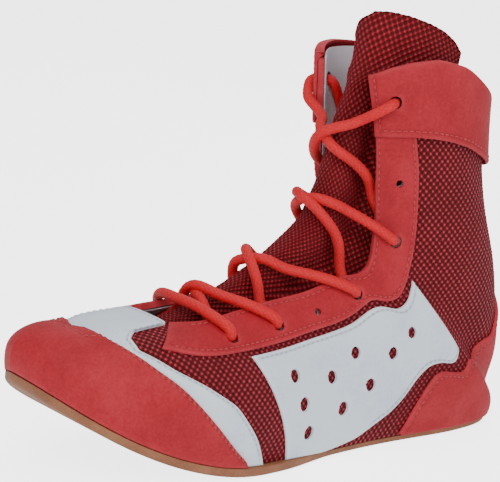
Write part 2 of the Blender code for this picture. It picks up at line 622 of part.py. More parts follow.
tongue = tongue_layer("tongue", 0.0, TONGUE_THICKNESS, "mesh")
tongue_lining = tongue_layer("tongue_lining", -TONGUE_THICKNESS - 2.0, TONGUE_LINING_THICKNESS, "lining",
                             0.08)
hinge = bpy.data.objects.new("tongue_hinge_axis", None)
bpy.context.scene.collection.objects.link(hinge)
hinge.location = to_row(layer(4.55, 0.0, -9.6))
bpy.context.view_layer.update()
for piece in (tongue, tongue_lining):
    piece.parent = hinge
    piece.matrix_parent_inverse = hinge.matrix_world.inverted()


# ---------------------------------------------------------------- lace
OVER = COVER[0] + COVER[1] + 0.5 + LACE / 2.0
OVER_BAND = OUTER[0] + OUTER[1] + 0.5 + LACE / 2.0
UNDER = LINING[0] - 0.5 - LACE / 2.0


def over_at(station):
    return OVER_BAND if station > 18.3 else OVER


def lace_run(start, end, lift, bar=False):
    """Waypoints (station, share, height) from one hole to the next, ending inside the next hole."""
    u0, v0 = start
    u1, v1 = end
    sign = 1.0 if v0 > 0.0 else -1.0
    edge0 = read(EYESTAY_INNER, u0 + 0.12 * (u1 - u0))
    edge1 = read(EYESTAY_INNER, u0 + 0.88 * (u1 - u0))
    steps = []
    v_from = sign * edge0
    v_to = -sign * edge1
    total = abs(v0) + abs(v1)

    def at(share):
        return u0 + (u1 - u0) * abs(share - v0) / total

    if not bar:
        steps.append((u0, v0, -4.4))
        steps.append((u0, v0, -8.0))
        steps.append((at(v0 - sign * 0.035), v0 - sign * 0.035, UNDER))
    middle = 0.5 * (abs(v0) + edge0)
    steps.append((at(sign * middle), sign * middle, OVER if bar else UNDER))
    steps.append((at(v_from), v_from, OVER if bar else UNDER))
    for k in (0.72, 0.48, 0.25, 0.0, -0.25, -0.48, -0.72):
        share = sign * k * (edge0 if k > 0 else edge1)
        station = float(at(share))
        height = float(tongue_height(station, share)) + 0.5 + LACE / 2.0
        height += lift * math.exp(-((k / 0.42) ** 2))
        if k < 0:
            height = max(height, OVER)
        if bar:
            height = max(height, OVER + 0.6)
        steps.append((station, share, height))
    steps.append((at(v_to), v_to, over_at(at(v_to)) + 0.3))
    beyond = -sign * 0.5 * (abs(v1) + edge1)
    steps.append((at(beyond), beyond, over_at(at(beyond)) + 0.1))
    steps.append((at(v1 + sign * 0.03), v1 + sign * 0.03, over_at(u1) - 0.1))
    return steps


def lace_half(sign, others, lifts):
    """From the first bar's middle through every hole on the way to this end's tip."""
    holes = [(EYELETS[index][0], sign * way * EYELETS[index][1]) for index, way in others]
    steps = []
    for first, second, lift in zip(holes, holes[1:], lifts):
        steps += lace_run(first, second, lift)
    last = holes[-1]
    way = 1.0 if last[1] > 0.0 else -1.0
    steps.append((last[0], last[1], -3.0))
    steps.append((last[0], last[1], -7.0))
    for station, share in ((18.8, 0.285), (18.45, 0.33), (18.0, 0.38), (17.55, 0.42), (17.1, 0.455)):
        steps.append((station, way * share, UNDER - 0.5))
    return steps


# The outer half starts in the first outer hole, the inner half in the first inner hole.
ROUTE = ((0, 1.0), (1, -1.0), (3, 1.0), (4, -1.0), (6, 1.0))
first_half = lace_half(1.0, ROUTE, (0.0, 0.0, 4.9, 4.9))
second_half = lace_half(-1.0, ROUTE, (4.9, 4.9, 0.0, 0.0))
bar = lace_run((EYELETS[0][0], EYELETS[0][1]), (EYELETS[0][0], -EYELETS[0][1]), 0.0, bar=True)
bar = [(EYELETS[0][0], EYELETS[0][1] - 0.03, OVER - 0.1)] + bar
way_points = list(reversed(first_half)) + bar + second_half
table = np.array([[float(value) for value in row] for row in way_points])


def free_layer(station, share, height, flared=True):
    return surface(station, share, flared) + np.asarray(height)[..., None] * normal(station, share, flared)


def smooth_path(points, spacing, rounds):
    """A path through the points at an even spacing, with its corners eased."""
    run = np.concatenate([[0.0], np.cumsum(np.linalg.norm(np.diff(points, axis=0), axis=1))])
    fine = np.linspace(0.0, run[-1], int(run[-1] / 1.0))
    path = np.stack([np.interp(fine, run, points[:, k]) for k in range(3)], -1)
    for _ in range(rounds):
        path[1:-1] = path[1:-1] * 0.5 + (path[:-2] + path[2:]) * 0.25
    run = np.concatenate([[0.0], np.cumsum(np.linalg.norm(np.diff(path, axis=0), axis=1))])
    want = np.linspace(0.0, run[-1], int(run[-1] / spacing))
    return np.stack([np.interp(want, run, path[:, k]) for k in range(3)], -1)


def flap_points(sign):
    """Points over the faces, the front edge and the hole walls of one laced flap."""
    station = np.repeat(np.linspace(5.15, 19.9, 190)[:, None], 18, 1)
    share = read(EYESTAY_INNER, station) + np.linspace(0.0, 0.25, 18)[None, :]
    top = np.where(station > 17.6, OUTER[0] + OUTER[1], COVER[0] + COVER[1])
    found = []
    holes = [free_layer(u, sign * v, COVER[0]) for k, (u, v) in enumerate(EYELETS) if k not in EMPTY_HOLES]
    for height in (top, np.full(station.shape, LINING[0])):
        face = free_layer(station, sign * share, height).reshape(-1, 3)
        for hole in holes:
            face = face[np.linalg.norm(face - hole, axis=1) > EYELET / 2.0 + 1.6]
        found.append(face)
    for height in np.linspace(LINING[0], COVER[0] + COVER[1], 5):
        edge = np.linspace(5.15, 19.5, 240)
        found.append(free_layer(edge, sign * read(EYESTAY_INNER, edge), np.full(edge.shape, height)))
        for k, (u, v) in enumerate(EYELETS):
            if k in EMPTY_HOLES:
                continue
            if k == len(EYELETS) - 1 and height > COVER[0]:
                height = OUTER[0] + OUTER[1]
            centre = free_layer(u, sign * v, height)
            along = free_layer(u + 0.01, sign * v, height) - centre
            along /= np.linalg.norm(along)
            across = np.cross(normal(u, sign * v), along)
            turn = np.linspace(0.0, 2.0 * math.pi, 24, endpoint=False)[:, None]
            found.append(centre + (np.cos(turn) * along + np.sin(turn) * across) * EYELET / 2.0)
    return np.concatenate(found)


dense_station = np.repeat(np.linspace(4.6, 20.5, 200)[:, None], 61, 1)
dense_share = tongue_share(dense_station, np.linspace(-1.0, 1.0, 61)[None, :])
tongue_face = free_layer(dense_station, dense_share, tongue_height(dense_station, dense_share), False)
tongue_out = grid_normals(tongue_face)[0].reshape(-1, 3)
tongue_face = tongue_face.reshape(-1, 3)
tongue_root = free_layer(4.55, 0.0, -9.6)


def swung(points, degrees):
    """Vectors of the tongue turned inwards about a level line across the boot."""
    c, s = math.cos(math.radians(degrees)), math.sin(math.radians(degrees))
    x, y, z = points[..., 0], points[..., 1], points[..., 2]
    return np.stack([x * c - z * s, y, x * s + z * c], -1)


swings = [(turn, swung(tongue_face - tongue_root, turn) + tongue_root, swung(tongue_out, turn))
          for turn in np.linspace(0.0, TONGUE_SWING, 5)]
flaps = np.concatenate([flap_points(1.0), flap_points(-1.0)])


def clear(path, distance):
    """The path with each point moved off the tongue's outer face, wherever it swings, and off both flaps."""
    moved = path.copy()
    for index, point in enumerate(path):
        for turn, face, out in swings:
            nearest = np.argmin(((face - moved[index]) ** 2).sum(-1))
            offset = moved[index] - face[nearest]
            depth = float(offset @ out[nearest])
            beside = float(np.linalg.norm(offset - depth * out[nearest]))
            if depth < distance and (turn == 0.0 or beside < LACE):
                moved[index] = moved[index] + (distance - depth) * out[nearest]
        away = moved[index] - flaps[np.argmin(((flaps - moved[index]) ** 2).sum(-1))]
        reach = float(np.linalg.norm(away))
        if reach < distance:
            moved[index] = moved[index] + away / reach * (distance - reach)
    return moved


lace_path = smooth_path(free_layer(table[:, 0], table[:, 1], table[:, 2]), 1.0, 4)
for _ in range(12):
    lace_path = smooth_path(clear(lace_path, LACE / 2.0 + 0.65), 1.0, 1)
lace_path = smooth_path(clear(lace_path, LACE / 2.0 + 0.62), 3.1, 0)


def tube(name, path, radius, colour):
    curve = bpy.data.curves.new(name, "CURVE")
    curve.dimensions = "3D"
    spline = curve.splines.new("POLY")
    spline.points.add(len(path) - 1)
    for point, spot in zip(spline.points, to_row(path)):
        point.co = (*spot, 1.0)
    curve.bevel_depth = radius / 1000.0
    curve.bevel_resolution = 1
    curve.use_fill_caps = True
    obj = bpy.data.objects.new(name, curve)
    bpy.context.scene.collection.objects.link(obj)
    curve.materials.append(material(name, colour))
    return obj


tube("lace", lace_path, LACE / 2.0, "lace")
for name, end, before in (("aglet_first", lace_path[0], lace_path[3]),
                          ("aglet_second", lace_path[-1], lace_path[-4])):
    way = (end - before) / np.linalg.norm(end - before)
    tube(name, np.array([end + way * (0.3 + AGLET_LENGTH * k) for k in (0.0, 0.5, 1.0)]), AGLET / 2.0, "tip")
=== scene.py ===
"""Finished look of a left boxing boot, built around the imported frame."""

import math

import bmesh
import bpy
import numpy as np
from mathutils import Matrix, Vector
from mathutils.kdtree import KDTree


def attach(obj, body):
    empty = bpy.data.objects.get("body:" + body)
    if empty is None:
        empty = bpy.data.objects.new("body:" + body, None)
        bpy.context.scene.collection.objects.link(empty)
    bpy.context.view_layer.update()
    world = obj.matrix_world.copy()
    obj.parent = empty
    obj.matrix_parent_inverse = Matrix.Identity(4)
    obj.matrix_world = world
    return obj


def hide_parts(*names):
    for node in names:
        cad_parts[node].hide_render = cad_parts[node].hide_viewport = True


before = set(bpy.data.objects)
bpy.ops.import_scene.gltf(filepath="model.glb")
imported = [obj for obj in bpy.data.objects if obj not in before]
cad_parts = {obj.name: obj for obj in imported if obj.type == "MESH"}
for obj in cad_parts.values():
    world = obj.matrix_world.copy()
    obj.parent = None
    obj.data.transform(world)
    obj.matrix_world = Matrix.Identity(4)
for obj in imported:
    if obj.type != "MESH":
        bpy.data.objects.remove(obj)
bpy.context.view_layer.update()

# ---------------------------------------------------------------- driving dimensions, in millimetres
TOE_SPRING = 46.0  # how far the sole's tip is off the floor
FLEX_LINE = 168.0  # from the heel, where the sole starts to rise
TOE_LENGTH = 281.0  # from the heel to the sole's tip
TOE_INSET = 7.0  # how far the toe curves to the inner side
ORIGIN_FROM_HEEL = 100.0  # where the row's origin sits on the flat part of the sole
SOLE_FOREFOOT = 4.5  # sole thickness at the ball
SOLE_ARCH = 3.0  # sole thickness at the arch and heel
SEAM_GAP = 0.25  # each half of a pair keeps this far from the back line
FEATHER_GAP = 1.0  # the upper's lower edge above the sole
SOLE_RIM = 2.8  # how far the sole's edge lies inside the reference surface at the forefoot
SOLE_INSET = 6.0  # the same at the arch and heel
LINING = (-8.4, 0.8)  # inner face against the reference surface, and thickness
COVER = (-5.2, 1.0)  # leather overlays
OUTER = (-3.6, 1.0)  # overlays on top of overlays
EYELET = 7.4  # punched hole across, where the cord goes through
LACE = 4.2  # cord across
AGLET = 3.4  # lace tip across
AGLET_LENGTH = 14.0
FLARE = (8.0, -7.0, 7.0)  # how far the inner flap's front edge stands off the tongue: forward, inward, up
TONGUE_SWING = 5.0  # how far the tongue swings inwards about its sewn front edge, in degrees
BOARD_THICKNESS = 1.5
SOCK_THICKNESS = 2.6

TOE_POINT = (245.0, 67.0)  # where the toe cap's rays meet, from the heel and above the floor

# Stations of the reference surface: front line (from heel, height), lower end (from heel),
# its half widths to the outer and inner side, and its height where it isn't the sole's edge.
STATIONS = [
    (*TOE_POINT, 276.0, 0.0, 0.0, None),
    (*TOE_POINT, 272.0, 17.0, 13.0, None),
    (*TOE_POINT, 260.0, 33.0, 27.0, None),
    (*TOE_POINT, 240.0, 43.0, 36.0, None),
    (229.0, 70.0, 213.0, 49.0, 42.0, None),
    (211.0, 72.0, 184.0, 51.0, 43.0, None),
    (193.0, 75.0, 155.0, 47.5, 38.0, None),
    (176.0, 79.0, 125.0, 41.0, 31.0, None),
    (160.0, 84.0, 96.0, 36.0, 29.0, None),
    (145.0, 90.0, 68.0, 33.5, 31.0, None),
    (132.0, 97.5, 42.0, 32.0, 31.0, None),
    (121.0, 106.5, 19.0, 27.5, 27.5, None),
    (116.5, 113.0, 5.0, 21.0, 21.0, None),
    (113.5, 119.0, -2.0, 12.0, 12.0, None),
    (111.0, 125.0, -5.0, 0.0, 0.0, None),
    (109.5, 131.0, -7.2, 0.0, 0.0, 18.0),
    (108.0, 139.0, -8.3, 0.0, 0.0, 38.0),
    (107.0, 150.0, -3.0, 0.0, 0.0, 74.0),
    (107.0, 161.0, 8.0, 0.0, 0.0, 106.0),
    (108.0, 172.0, 14.0, 0.0, 0.0, 135.0),
    (109.0, 183.0, 15.5, 0.0, 0.0, 161.0),
    (109.0, 197.0, 15.5, 0.0, 0.0, 180.0),
    (108.0, 209.0, 15.5, 0.0, 0.0, 190.0),
    (106.0, 220.0, 15.5, 0.0, 0.0, 198.0),
]
FAN_LAST = 3  # the last station whose ray starts at the toe point
FOOT_LAST = 10  # the last station that crosses the foot; later ones turn into the shaft
HEEL_LAST = 14  # the last station that ends on the sole's edge
SHAFT_WIDTHS = [33.0, 34.5, 35.5, 36.5, 37.5, 38.5, 39.5, 39.5, 38.5, 38.0, 38.0, 37.0, 36.0]
HEEL_BULGE = [
    (22.0, 35.0, 19.0),
    (6.0, 32.5, 17.0),
    (-3.0, 28.5, 15.0),
    (-7.0, 25.0, 15.0),
    (-8.0, 27.0, 9.5),
    (-8.5, 30.0, 2.0),
]

# Outlines on the reference surface: (station, share of the girth from the front line to the lower end).
CAP_TOP = [(5.12, 0.975), (4.85, 0.912), (4.47, 0.785), (4.09, 0.655), (3.69, 0.552), (3.37, 0.43),
           (3.11, 0.3), (3.02, 0.15), (3.0, 0.0)]
CAP_FOOT = [(5.16, 1.0), (4.92, 1.0), (4.55, 1.0), (4.25, 1.0), (3.9, 1.0), (3.6, 1.0), (3.35, 1.0),
            (3.15, 1.0), (3.0, 1.0)]
STRIP_TOP = [(5.52, 1.0), (5.38, 0.88), (5.09, 0.722), (4.62, 0.622), (4.07, 0.53), (3.62, 0.4)]
STRIP_UNDER = [(5.0, 1.0), (4.7, 0.88), (4.36, 0.765), (3.96, 0.63), (3.55, 0.53), (3.24, 0.42)]
TAB_SIDE = [(3.62, 0.4), (3.75, 0.27), (4.1, 0.19), (4.6, 0.175), (5.05, 0.17)]
EYESTAY_INNER = [(5.1, 0.17), (5.74, 0.225), (6.76, 0.235), (7.6, 0.26), (8.41, 0.291), (9.82, 0.33),
                 (11.08, 0.3), (12.49, 0.271), (14.83, 0.223), (17.07, 0.178), (19.23, 0.145), (19.8, 0.145)]
EYESTAY_OUTER = [(4.2, 0.37), (4.94, 0.449), (6.16, 0.469), (7.27, 0.484), (8.47, 0.484), (9.43, 0.481),
                 (10.93, 0.42), (13.54, 0.385), (15.16, 0.368), (16.62, 0.35), (18.03, 0.348), (19.3, 0.345)]
EYELETS = [(5.95, 0.381), (7.27, 0.401), (8.44, 0.411), (9.7, 0.42), (14.0, 0.318), (16.47, 0.283),
           (18.96, 0.263)]
EMPTY_HOLES = (2, 5)
COLLAR_TOP = [(19.55, 0.14), (20.1, 0.246), (20.45, 0.338), (20.76, 0.449), (20.75, 0.56), (20.45, 0.68),
              (20.15, 0.84), (20.05, 1.0)]
COLLAR_LOW = [(17.3, 0.172), (18.15, 0.331), (18.5, 0.42), (18.72, 0.504), (18.85, 0.6), (18.87, 0.709),
              (18.87, 0.85), (18.87, 1.0)]
COUNTER_EDGE = [(8.75, 0.985), (9.25, 0.885), (10.36, 0.75), (12.2, 0.68), (14.2, 0.68), (16.25, 0.8),
                (17.05, 1.0)]
COUNTER_FOOT = [(8.8, 1.0), (9.6, 1.0), (10.8, 1.0), (12.3, 1.0), (13.9, 1.0), (15.4, 1.0), (16.6, 1.0)]
SADDLE_TOP = [(6.02, 0.5), (7.0, 0.51), (8.0, 0.513), (9.0, 0.508), (10.0, 0.49), (11.1, 0.445),
              (12.9, 0.41)]
SADDLE_LOW = [(6.03, 1.0), (6.9, 1.0), (7.7, 0.97), (8.5, 0.9), (9.4, 0.8), (10.6, 0.7), (12.0, 0.63)]
VENTS = [(6.55, 0.9, 3.4), (6.62, 0.77, 3.4), (6.7, 0.64, 3.2), (7.5, 0.83, 3.4), (7.55, 0.69, 3.2),
         (8.35, 0.76, 3.2), (8.45, 0.62, 3.0), (9.3, 0.67, 3.0), (10.3, 0.59, 2.8)]
VAMP_START = [(0.0, 4.3), (0.06, 3.95), (0.16, 3.62), (0.3, 3.56), (0.42, 3.88), (0.55, 4.35), (0.7, 4.78),
              (0.86, 5.06), (1.0, 5.26)]
VAMP_TOP = [(3.5, 0.19), (4.3, 0.15), (5.05, 0.155), (5.2, 0.195), (5.74, 0.24), (6.32, 0.25)]
VAMP_END = 6.32
QUARTER_START = 6.335
QUARTER_TOP = [(station, share - 0.025) for station, share in EYESTAY_OUTER if station > 6.0]
QUARTER_END = [(0.0, 18.45), (0.3, 18.95), (0.5, 19.15), (1.0, 19.2)]
MESH_LOW = [(8.9, 1.0), (9.3, 0.95), (10.36, 0.81), (12.2, 0.74), (14.2, 0.74), (16.2, 0.86), (16.6, 0.93),
            (16.9, 1.0)]
LINING_START = 5.16
LINING_TOP = [(0.0, 19.45), (0.13, 20.0), (0.25, 20.35), (0.36, 20.65), (0.5, 20.6), (0.65, 20.3),
              (0.8, 20.0), (1.0, 19.9)]
LINING_SIDE = [(station, share + 0.012) for station, share in EYESTAY_INNER]
TONGUE_HALF = [(4.55, 0.1), (5.2, 0.2), (6.0, 0.3), (7.0, 0.37), (8.0, 0.41), (10.0, 0.43), (14.0, 0.41),
               (18.0, 0.4), (19.0, 0.43), (20.0, 0.5), (20.7, 0.53), (22.2, 0.52)]
TONGUE_SHIFT = [(4.55, 0.0), (18.6, 0.0), (20.5, 0.07), (22.16, 0.12)]
# How far the tongue's top edge drops, in stations, from its inner edge at -1 to its outer one at 1.
TONGUE_DROP = [(-1.0, 2.4), (-0.75, 1.8), (-0.55, 1.42), (-0.38, 1.06), (-0.2, 0.62), (0.0, 0.2), (0.2, 0.0),
               (0.4, -0.08), (0.6, -0.04), (0.75, 0.1), (0.88, 0.36), (1.0, 0.86)]
TONGUE_RISE = [(4.55, -9.1), (5.1, -9.0), (6.0, -7.0), (7.0, -3.5), (8.0, -0.5), (9.0, 1.5), (10.0, 3.0),
               (12.0, 5.0), (15.0, 6.0), (17.0, 5.0), (18.0, 2.0), (19.0, -3.0), (20.0, -8.0),
               (21.0, -9.5), (22.16, -10.5)]
TONGUE_TUCK = [(4.55, -9.2), (5.1, -10.0), (6.0, -14.4), (12.5, -14.6), (14.0, -16.0), (16.0, -16.4),
               (18.0, -14.4), (20.0, -12.5), (21.0, -12.3), (22.16, -12.0)]


# ---------------------------------------------------------------- reference surface
def smooth(value):
    """A soft step from 0 to 1."""
    value = np.clip(value, 0.0, 1.0)
    return value * value * (3.0 - 2.0 * value)


def sole_height(x):
    rise = np.clip((np.asarray(x, float) - FLEX_LINE) / (TOE_LENGTH - FLEX_LINE), 0.0, None)
    return TOE_SPRING * rise**2


def sole_thickness(x):
    return SOLE_ARCH + (SOLE_FOREFOOT - SOLE_ARCH) * smooth((np.asarray(x, float) - 110.0) / 50.0)


def inward_curve(x):
    along = np.clip((np.asarray(x, float) - 120.0) / (TOE_LENGTH - 120.0), 0.0, None)
    return -TOE_INSET * along**2


def control_points():
    """Five control points for each station and each side."""
    rows = []
    for index, (front_x, front_z, low_x, outer, inner, low_z) in enumerate(STATIONS):
        pair = []
        for side, width in ((1.0, outer), (-1.0, inner)):
            z = low_z
            if low_z is None:
                z = float(sole_height(low_x) + sole_thickness(low_x)) + FEATHER_GAP
            front = np.array([front_x, 0.0, front_z])
            low = np.array([low_x, side * width, z])
            if index <= FAN_LAST:
                ray = (low - front) * [1.0, 1.0, 0.0]
                first = front + ray * 0.42 + [0.0, 0.0, 1.5]
                second = front + ray * 0.86 + [0.0, 0.0, -1.0]
                third = front + ray * 1.10
                third[2] = z + 11.0 + index * 2.0
            elif index <= FOOT_LAST:
                k = (index - 4.0) / 6.0
                height = front_z - z
                first = front + [0.0, side * (0.5 * width + 1.0 + 3.0 * k), 1.0]
                second = np.array([front_x * 0.55 + low_x * 0.45, side * (width * 1.02 + 3.0 + 4.0 * k),
                                   z + height * (0.95 - 0.15 * k)])
                third = np.array([front_x * 0.15 + low_x * 0.85, side * (width * 1.1 + 2.0 + 2.5 * k),
                                  z + height * (0.38 - 0.06 * k)])
            else:
                shaft = SHAFT_WIDTHS[index - FOOT_LAST - 1]
                first = front + [0.0, side * shaft * 0.62, 0.0]
                lift = 0.0 if index >= 16 else 4.0
                second = np.array([(front_x + low_x) / 2.0 + 6.0, side * shaft * 1.42,
                                   (front_z + z) / 2.0 + lift])
                third = np.array([low_x, side * shaft * 0.8, z])
                if index - FOOT_LAST - 1 < len(HEEL_BULGE):
                    bulge = HEEL_BULGE[index - FOOT_LAST - 1]
                    third = np.array([bulge[0], side * bulge[1], z + bulge[2]])
            pair.append([front, first, second, third, low])
        rows.append(pair)
    return np.array(rows)


def spline_bends(values):
    """Second derivatives of a natural cubic spline through equally spaced values."""
    count = len(values)
    system = np.eye(count)
    right = np.zeros_like(values)
    for i in range(1, count - 1):
        system[i, i - 1:i + 2] = (1.0, 4.0, 1.0)
        right[i] = 6.0 * (values[i - 1] - 2.0 * values[i] + values[i + 1])
    return np.linalg.solve(system, right)


CONTROL = control_points()
BENDS = spline_bends(CONTROL.reshape(len(CONTROL), -1)).reshape(CONTROL.shape)


def flare(station, share):
    """How the laced front of the inner flap leans off the tongue."""
    v = np.abs(share)
    across = smooth((v - 0.04) / 0.11) * (1.0 - smooth((v - 0.2) / 0.4))
    amount = np.where(share < 0.0, across * smooth((station - 12.0) / 4.5), 0.0)
    up = smooth((station - 16.5) / 3.0)
    return np.stack([amount * FLARE[0], amount * FLARE[1], amount * up * FLARE[2]], -1)


def surface(station, share, flared=True):
    """A point of the reference surface. A negative share is on the inner side."""
    station, share = np.broadcast_arrays(np.asarray(station, float), np.asarray(share, float))
    side = (share < 0.0).astype(int)
    v = np.clip(np.abs(share), 0.0, 1.0)
    u = np.clip(station, 0.0, len(CONTROL) - 1.0)
    i = np.minimum(u.astype(int), len(CONTROL) - 2)
    t = (u - i)[..., None, None]
    s = 1.0 - t
    points = s * CONTROL[i, side] + t * CONTROL[i + 1, side]
    points = points + ((s**3 - s) * BENDS[i, side] + (t**3 - t) * BENDS[i + 1, side]) / 6.0
    w = 1.0 - v
    weights = np.stack([w**4, 4 * w**3 * v, 6 * w * w * v * v, 4 * w * v**3, v**4], -1)
    found = (points * weights[..., None]).sum(-2)
    found[..., 1] += inward_curve(found[..., 0])
    if flared:
        found += flare(u, np.where(side > 0, -v, v))
    return found


def normal(station, share, flared=True, step=1e-3):
    """The outward direction, kept level near the lower edge."""
    station, share = np.broadcast_arrays(np.asarray(station, float), np.asarray(share, float))
    sign = np.where(share < 0.0, -1.0, 1.0)
    v = np.clip(np.abs(share), 0.03, 0.99)
    u = np.clip(station, 0.01, len(CONTROL) - 1.01)
    along = surface(u + step, sign * v, flared) - surface(u - step, sign * v, flared)
    across = surface(u, sign * (v + step), flared) - surface(u, sign * (v - step), flared)
    found = np.cross(across, along) * sign[..., None]
    found /= np.linalg.norm(found, axis=-1, keepdims=True)
    # At the toe point and on the front line the two sides share one direction.
    centre = np.clip(1.0 - np.abs(share) / 0.12, 0.0, 1.0)[..., None]
    level = found.copy()
    level[..., 1] = 0.0
    fan = (station < FAN_LAST + 0.5)[..., None]
    level = np.where(fan, np.array([-0.05, 0.0, 1.0]), level)
    found = found * (1.0 - centre) + level * centre
    low = np.clip((np.abs(share) - 0.8) / 0.2, 0.0, 1.0) * (station < HEEL_LAST + 0.5)
    found[..., 2] *= 1.0 - low
    back = np.clip((np.abs(share) - 0.94) / 0.06, 0.0, 1.0) * (station > HEEL_LAST - 0.01)
    found[..., 1] *= 1.0 - back
    found[..., 1] *= np.clip(station / 0.3, 0.0, 1.0)
    return found / np.linalg.norm(found, axis=-1, keepdims=True)


def sole_top(points):
    return sole_height(points[..., 0]) + sole_thickness(points[..., 0])


def layer(station, share, height):
    """A point at a height over the reference surface, clear of the sole and of the back line."""
    height = np.asarray(height, float)
    points = surface(station, share) + height[..., None] * normal(station, share)
    points[..., 2] = np.maximum(points[..., 2], sole_top(points) + 0.9 * FEATHER_GAP)
    heel = np.asarray(station) > HEEL_LAST - 1.0
    side = np.where(np.asarray(share) < 0.0, -1.0, 1.0)
    least = np.where(np.abs(share) < 1.0, SEAM_GAP, 0.0)
    points[..., 1] = np.where(heel, side * np.maximum(side * points[..., 1], least), points[..., 1])
    return points


def on_layer(domain, height):
    """The points of a grid or a line of (station, share) at one height."""
    return layer(domain[..., 0], domain[..., 1], np.full(domain.shape[:-1], height))


def to_row(points):
    """From heel-based millimetres to the row's metres."""
    points = np.asarray(points, float)
    turned = np.stack([points[..., 1], ORIGIN_FROM_HEEL - points[..., 0], points[..., 2]], -1)
    return turned / 1000.0


def read(table, at):
    """The value of a two-column table at a place, read between its rows."""
    table = np.array(table)
    return np.interp(at, table[:, 0], table[:, 1])


def run_along(points, scale=1.0):
    """The distance from a path's first point to each of its points."""
    steps = np.linalg.norm(np.diff(points, axis=0) * scale, axis=1)
    return np.concatenate([[0.0], np.cumsum(steps)])


def sampled(points, run, want):
    """A path's points at the wanted places of its run."""
    return np.stack([np.interp(want, run, points[:, k]) for k in range(points.shape[1])], -1)


def relaxed(points, rounds):
    """The same path with its bends rounded: each point moves towards its neighbours."""
    for _ in range(rounds):
        points[1:-1] = (points[:-2] + 2.0 * points[1:-1] + points[2:]) / 4.0
    return points


def resample(edge, count):
    """Points spread evenly along an outline given by a few corners."""
    edge = np.array(edge, float)
    run = run_along(edge, [1.0, 6.0])
    return sampled(edge, run, np.linspace(0.0, 1.0, count) * run[-1])


def mirrored(domain):
    """The same domain on the inner side."""
    other = domain.copy()
    other[..., 1] = -np.maximum(other[..., 1], 1e-6)
    return other


def on_side(domain, sign):
    return domain if sign > 0.0 else mirrored(domain)


def on_both(domain):
    return [domain, mirrored(domain)]


def bottom_outline(inset, count):
    """Outer and inner points of the sole's outline, from the toe to the heel."""
    steps = 0.5 - 0.5 * np.cos(np.linspace(0.0, math.pi, count))
    station = steps * HEEL_LAST
    pairs = []
    for side in (1.0, -1.0):
        points = surface(station, side * np.ones(count))
        out = normal(station, side * np.ones(count))
        out[..., 2] = 0.0
        out /= np.linalg.norm(out, axis=-1, keepdims=True)
        reach = inset(points[:, 0])
        pairs.append(points - out * reach[:, None])
    # Both ends of the outline are one point.
    for end in (0, -1):
        shared = (pairs[0][end] + pairs[1][end]) / 2.0
        pairs[0][end] = shared
        pairs[1][end] = shared
    return pairs


def sole_inset(x):
    return SOLE_INSET + (SOLE_RIM - SOLE_INSET) * smooth((np.asarray(x, float) - 118.0) / 40.0)


def flat_inset(value):
    return lambda x: np.full(np.shape(x), value)


def above_sole(gap):
    return lambda x: sole_height(x) + sole_thickness(x) + gap


def rows_domain(first, last, top, low, columns, rows):
    """A domain whose ends depend on the row and whose top and low edges depend on the station."""
    r = np.linspace(0.0, 1.0, rows)[None, :]
    c = np.linspace(0.0, 1.0, columns)[:, None]
    station = read(first, r) * (1.0 - c) + read(last, r) * c
    share = read(top, station) * (1.0 - r) + read(low, station) * r
    return np.stack([station, share], -1)


# ---------------------------------------------------------------- camera
TARGET = Vector((-0.0018, -0.0524, 0.0975))
VIEW_AZIMUTH = 53.0
VIEW_TILT = 10.9
VIEW_ROLL = 4.6
VIEW_DISTANCE = 0.902
LENS = 139.5


def linked(name, data):
    """A new object in the scene."""
    obj = bpy.data.objects.new(name, data)
    bpy.context.scene.collection.objects.link(obj)
    return obj


def direction(azimuth, tilt):
    """From the boot towards a place at an azimuth and a tilt in degrees."""
    turn, rise = math.radians(azimuth), math.radians(tilt)
    return Vector((math.sin(turn) * math.cos(rise), -math.cos(turn) * math.cos(rise), math.sin(rise)))


def add_camera():
    roll = math.radians(VIEW_ROLL)
    back = direction(VIEW_AZIMUTH, VIEW_TILT)
    level = Vector((0.0, 0.0, 1.0)).cross(back).normalized()
    above = back.cross(level)
    right = level * math.cos(roll) + above * math.sin(roll)
    up = above * math.cos(roll) - level * math.sin(roll)
    camera = linked("camera", bpy.data.cameras.new("camera"))
    camera.data.lens = LENS
    camera.data.sensor_width = 36.0
    camera.data.clip_start = 0.01
    turn = Matrix((right, up, back)).transposed().to_4x4()
    camera.matrix_world = Matrix.Translation(TARGET + back * VIEW_DISTANCE) @ turn
    bpy.context.scene.camera = camera


add_camera()


# ---------------------------------------------------------------- fine panels
# In millimetres.
SEAM_STEPS = np.array([0.0, 0.12, 0.35, 0.75, 1.4, 2.1, 2.6, 3.0, 3.4, 3.9, 4.8])  # lines near a grid's edge
GRID_LEVEL = -4.0  # the height at which a grid's lines are spaced
WEAVE = (3.3, 3.6)  # the open fabric's repeat along and up
EDGE_RADIUS = 1.1  # of a panel's rounded edge
EDGE_DROP = 0.62  # the share of its thickness that the edge loses
GROOVE = (0.22, 0.6)  # a stitch groove's depth and half its width
PUFF_FROM_EDGE = (1.5, 0.9)  # where the leather swells beside its stitches, and half that width
PUFF_REACH = 4.0


def eased(corners, count=400, rounds=60):
    """A dense outline through the corners, with its bends rounded."""
    return relaxed(resample(corners, count), rounds)


def chained(*runs):
    """Several dense outlines as one."""
    return np.concatenate([runs[0]] + [run[1:] for run in runs[1:]])


def at(outline, share):
    return sampled(outline, np.linspace(0.0, 1.0, len(outline)), share)


def lengths(points):
    return np.linalg.norm(np.diff(points, axis=-2), axis=-1).sum(-1)


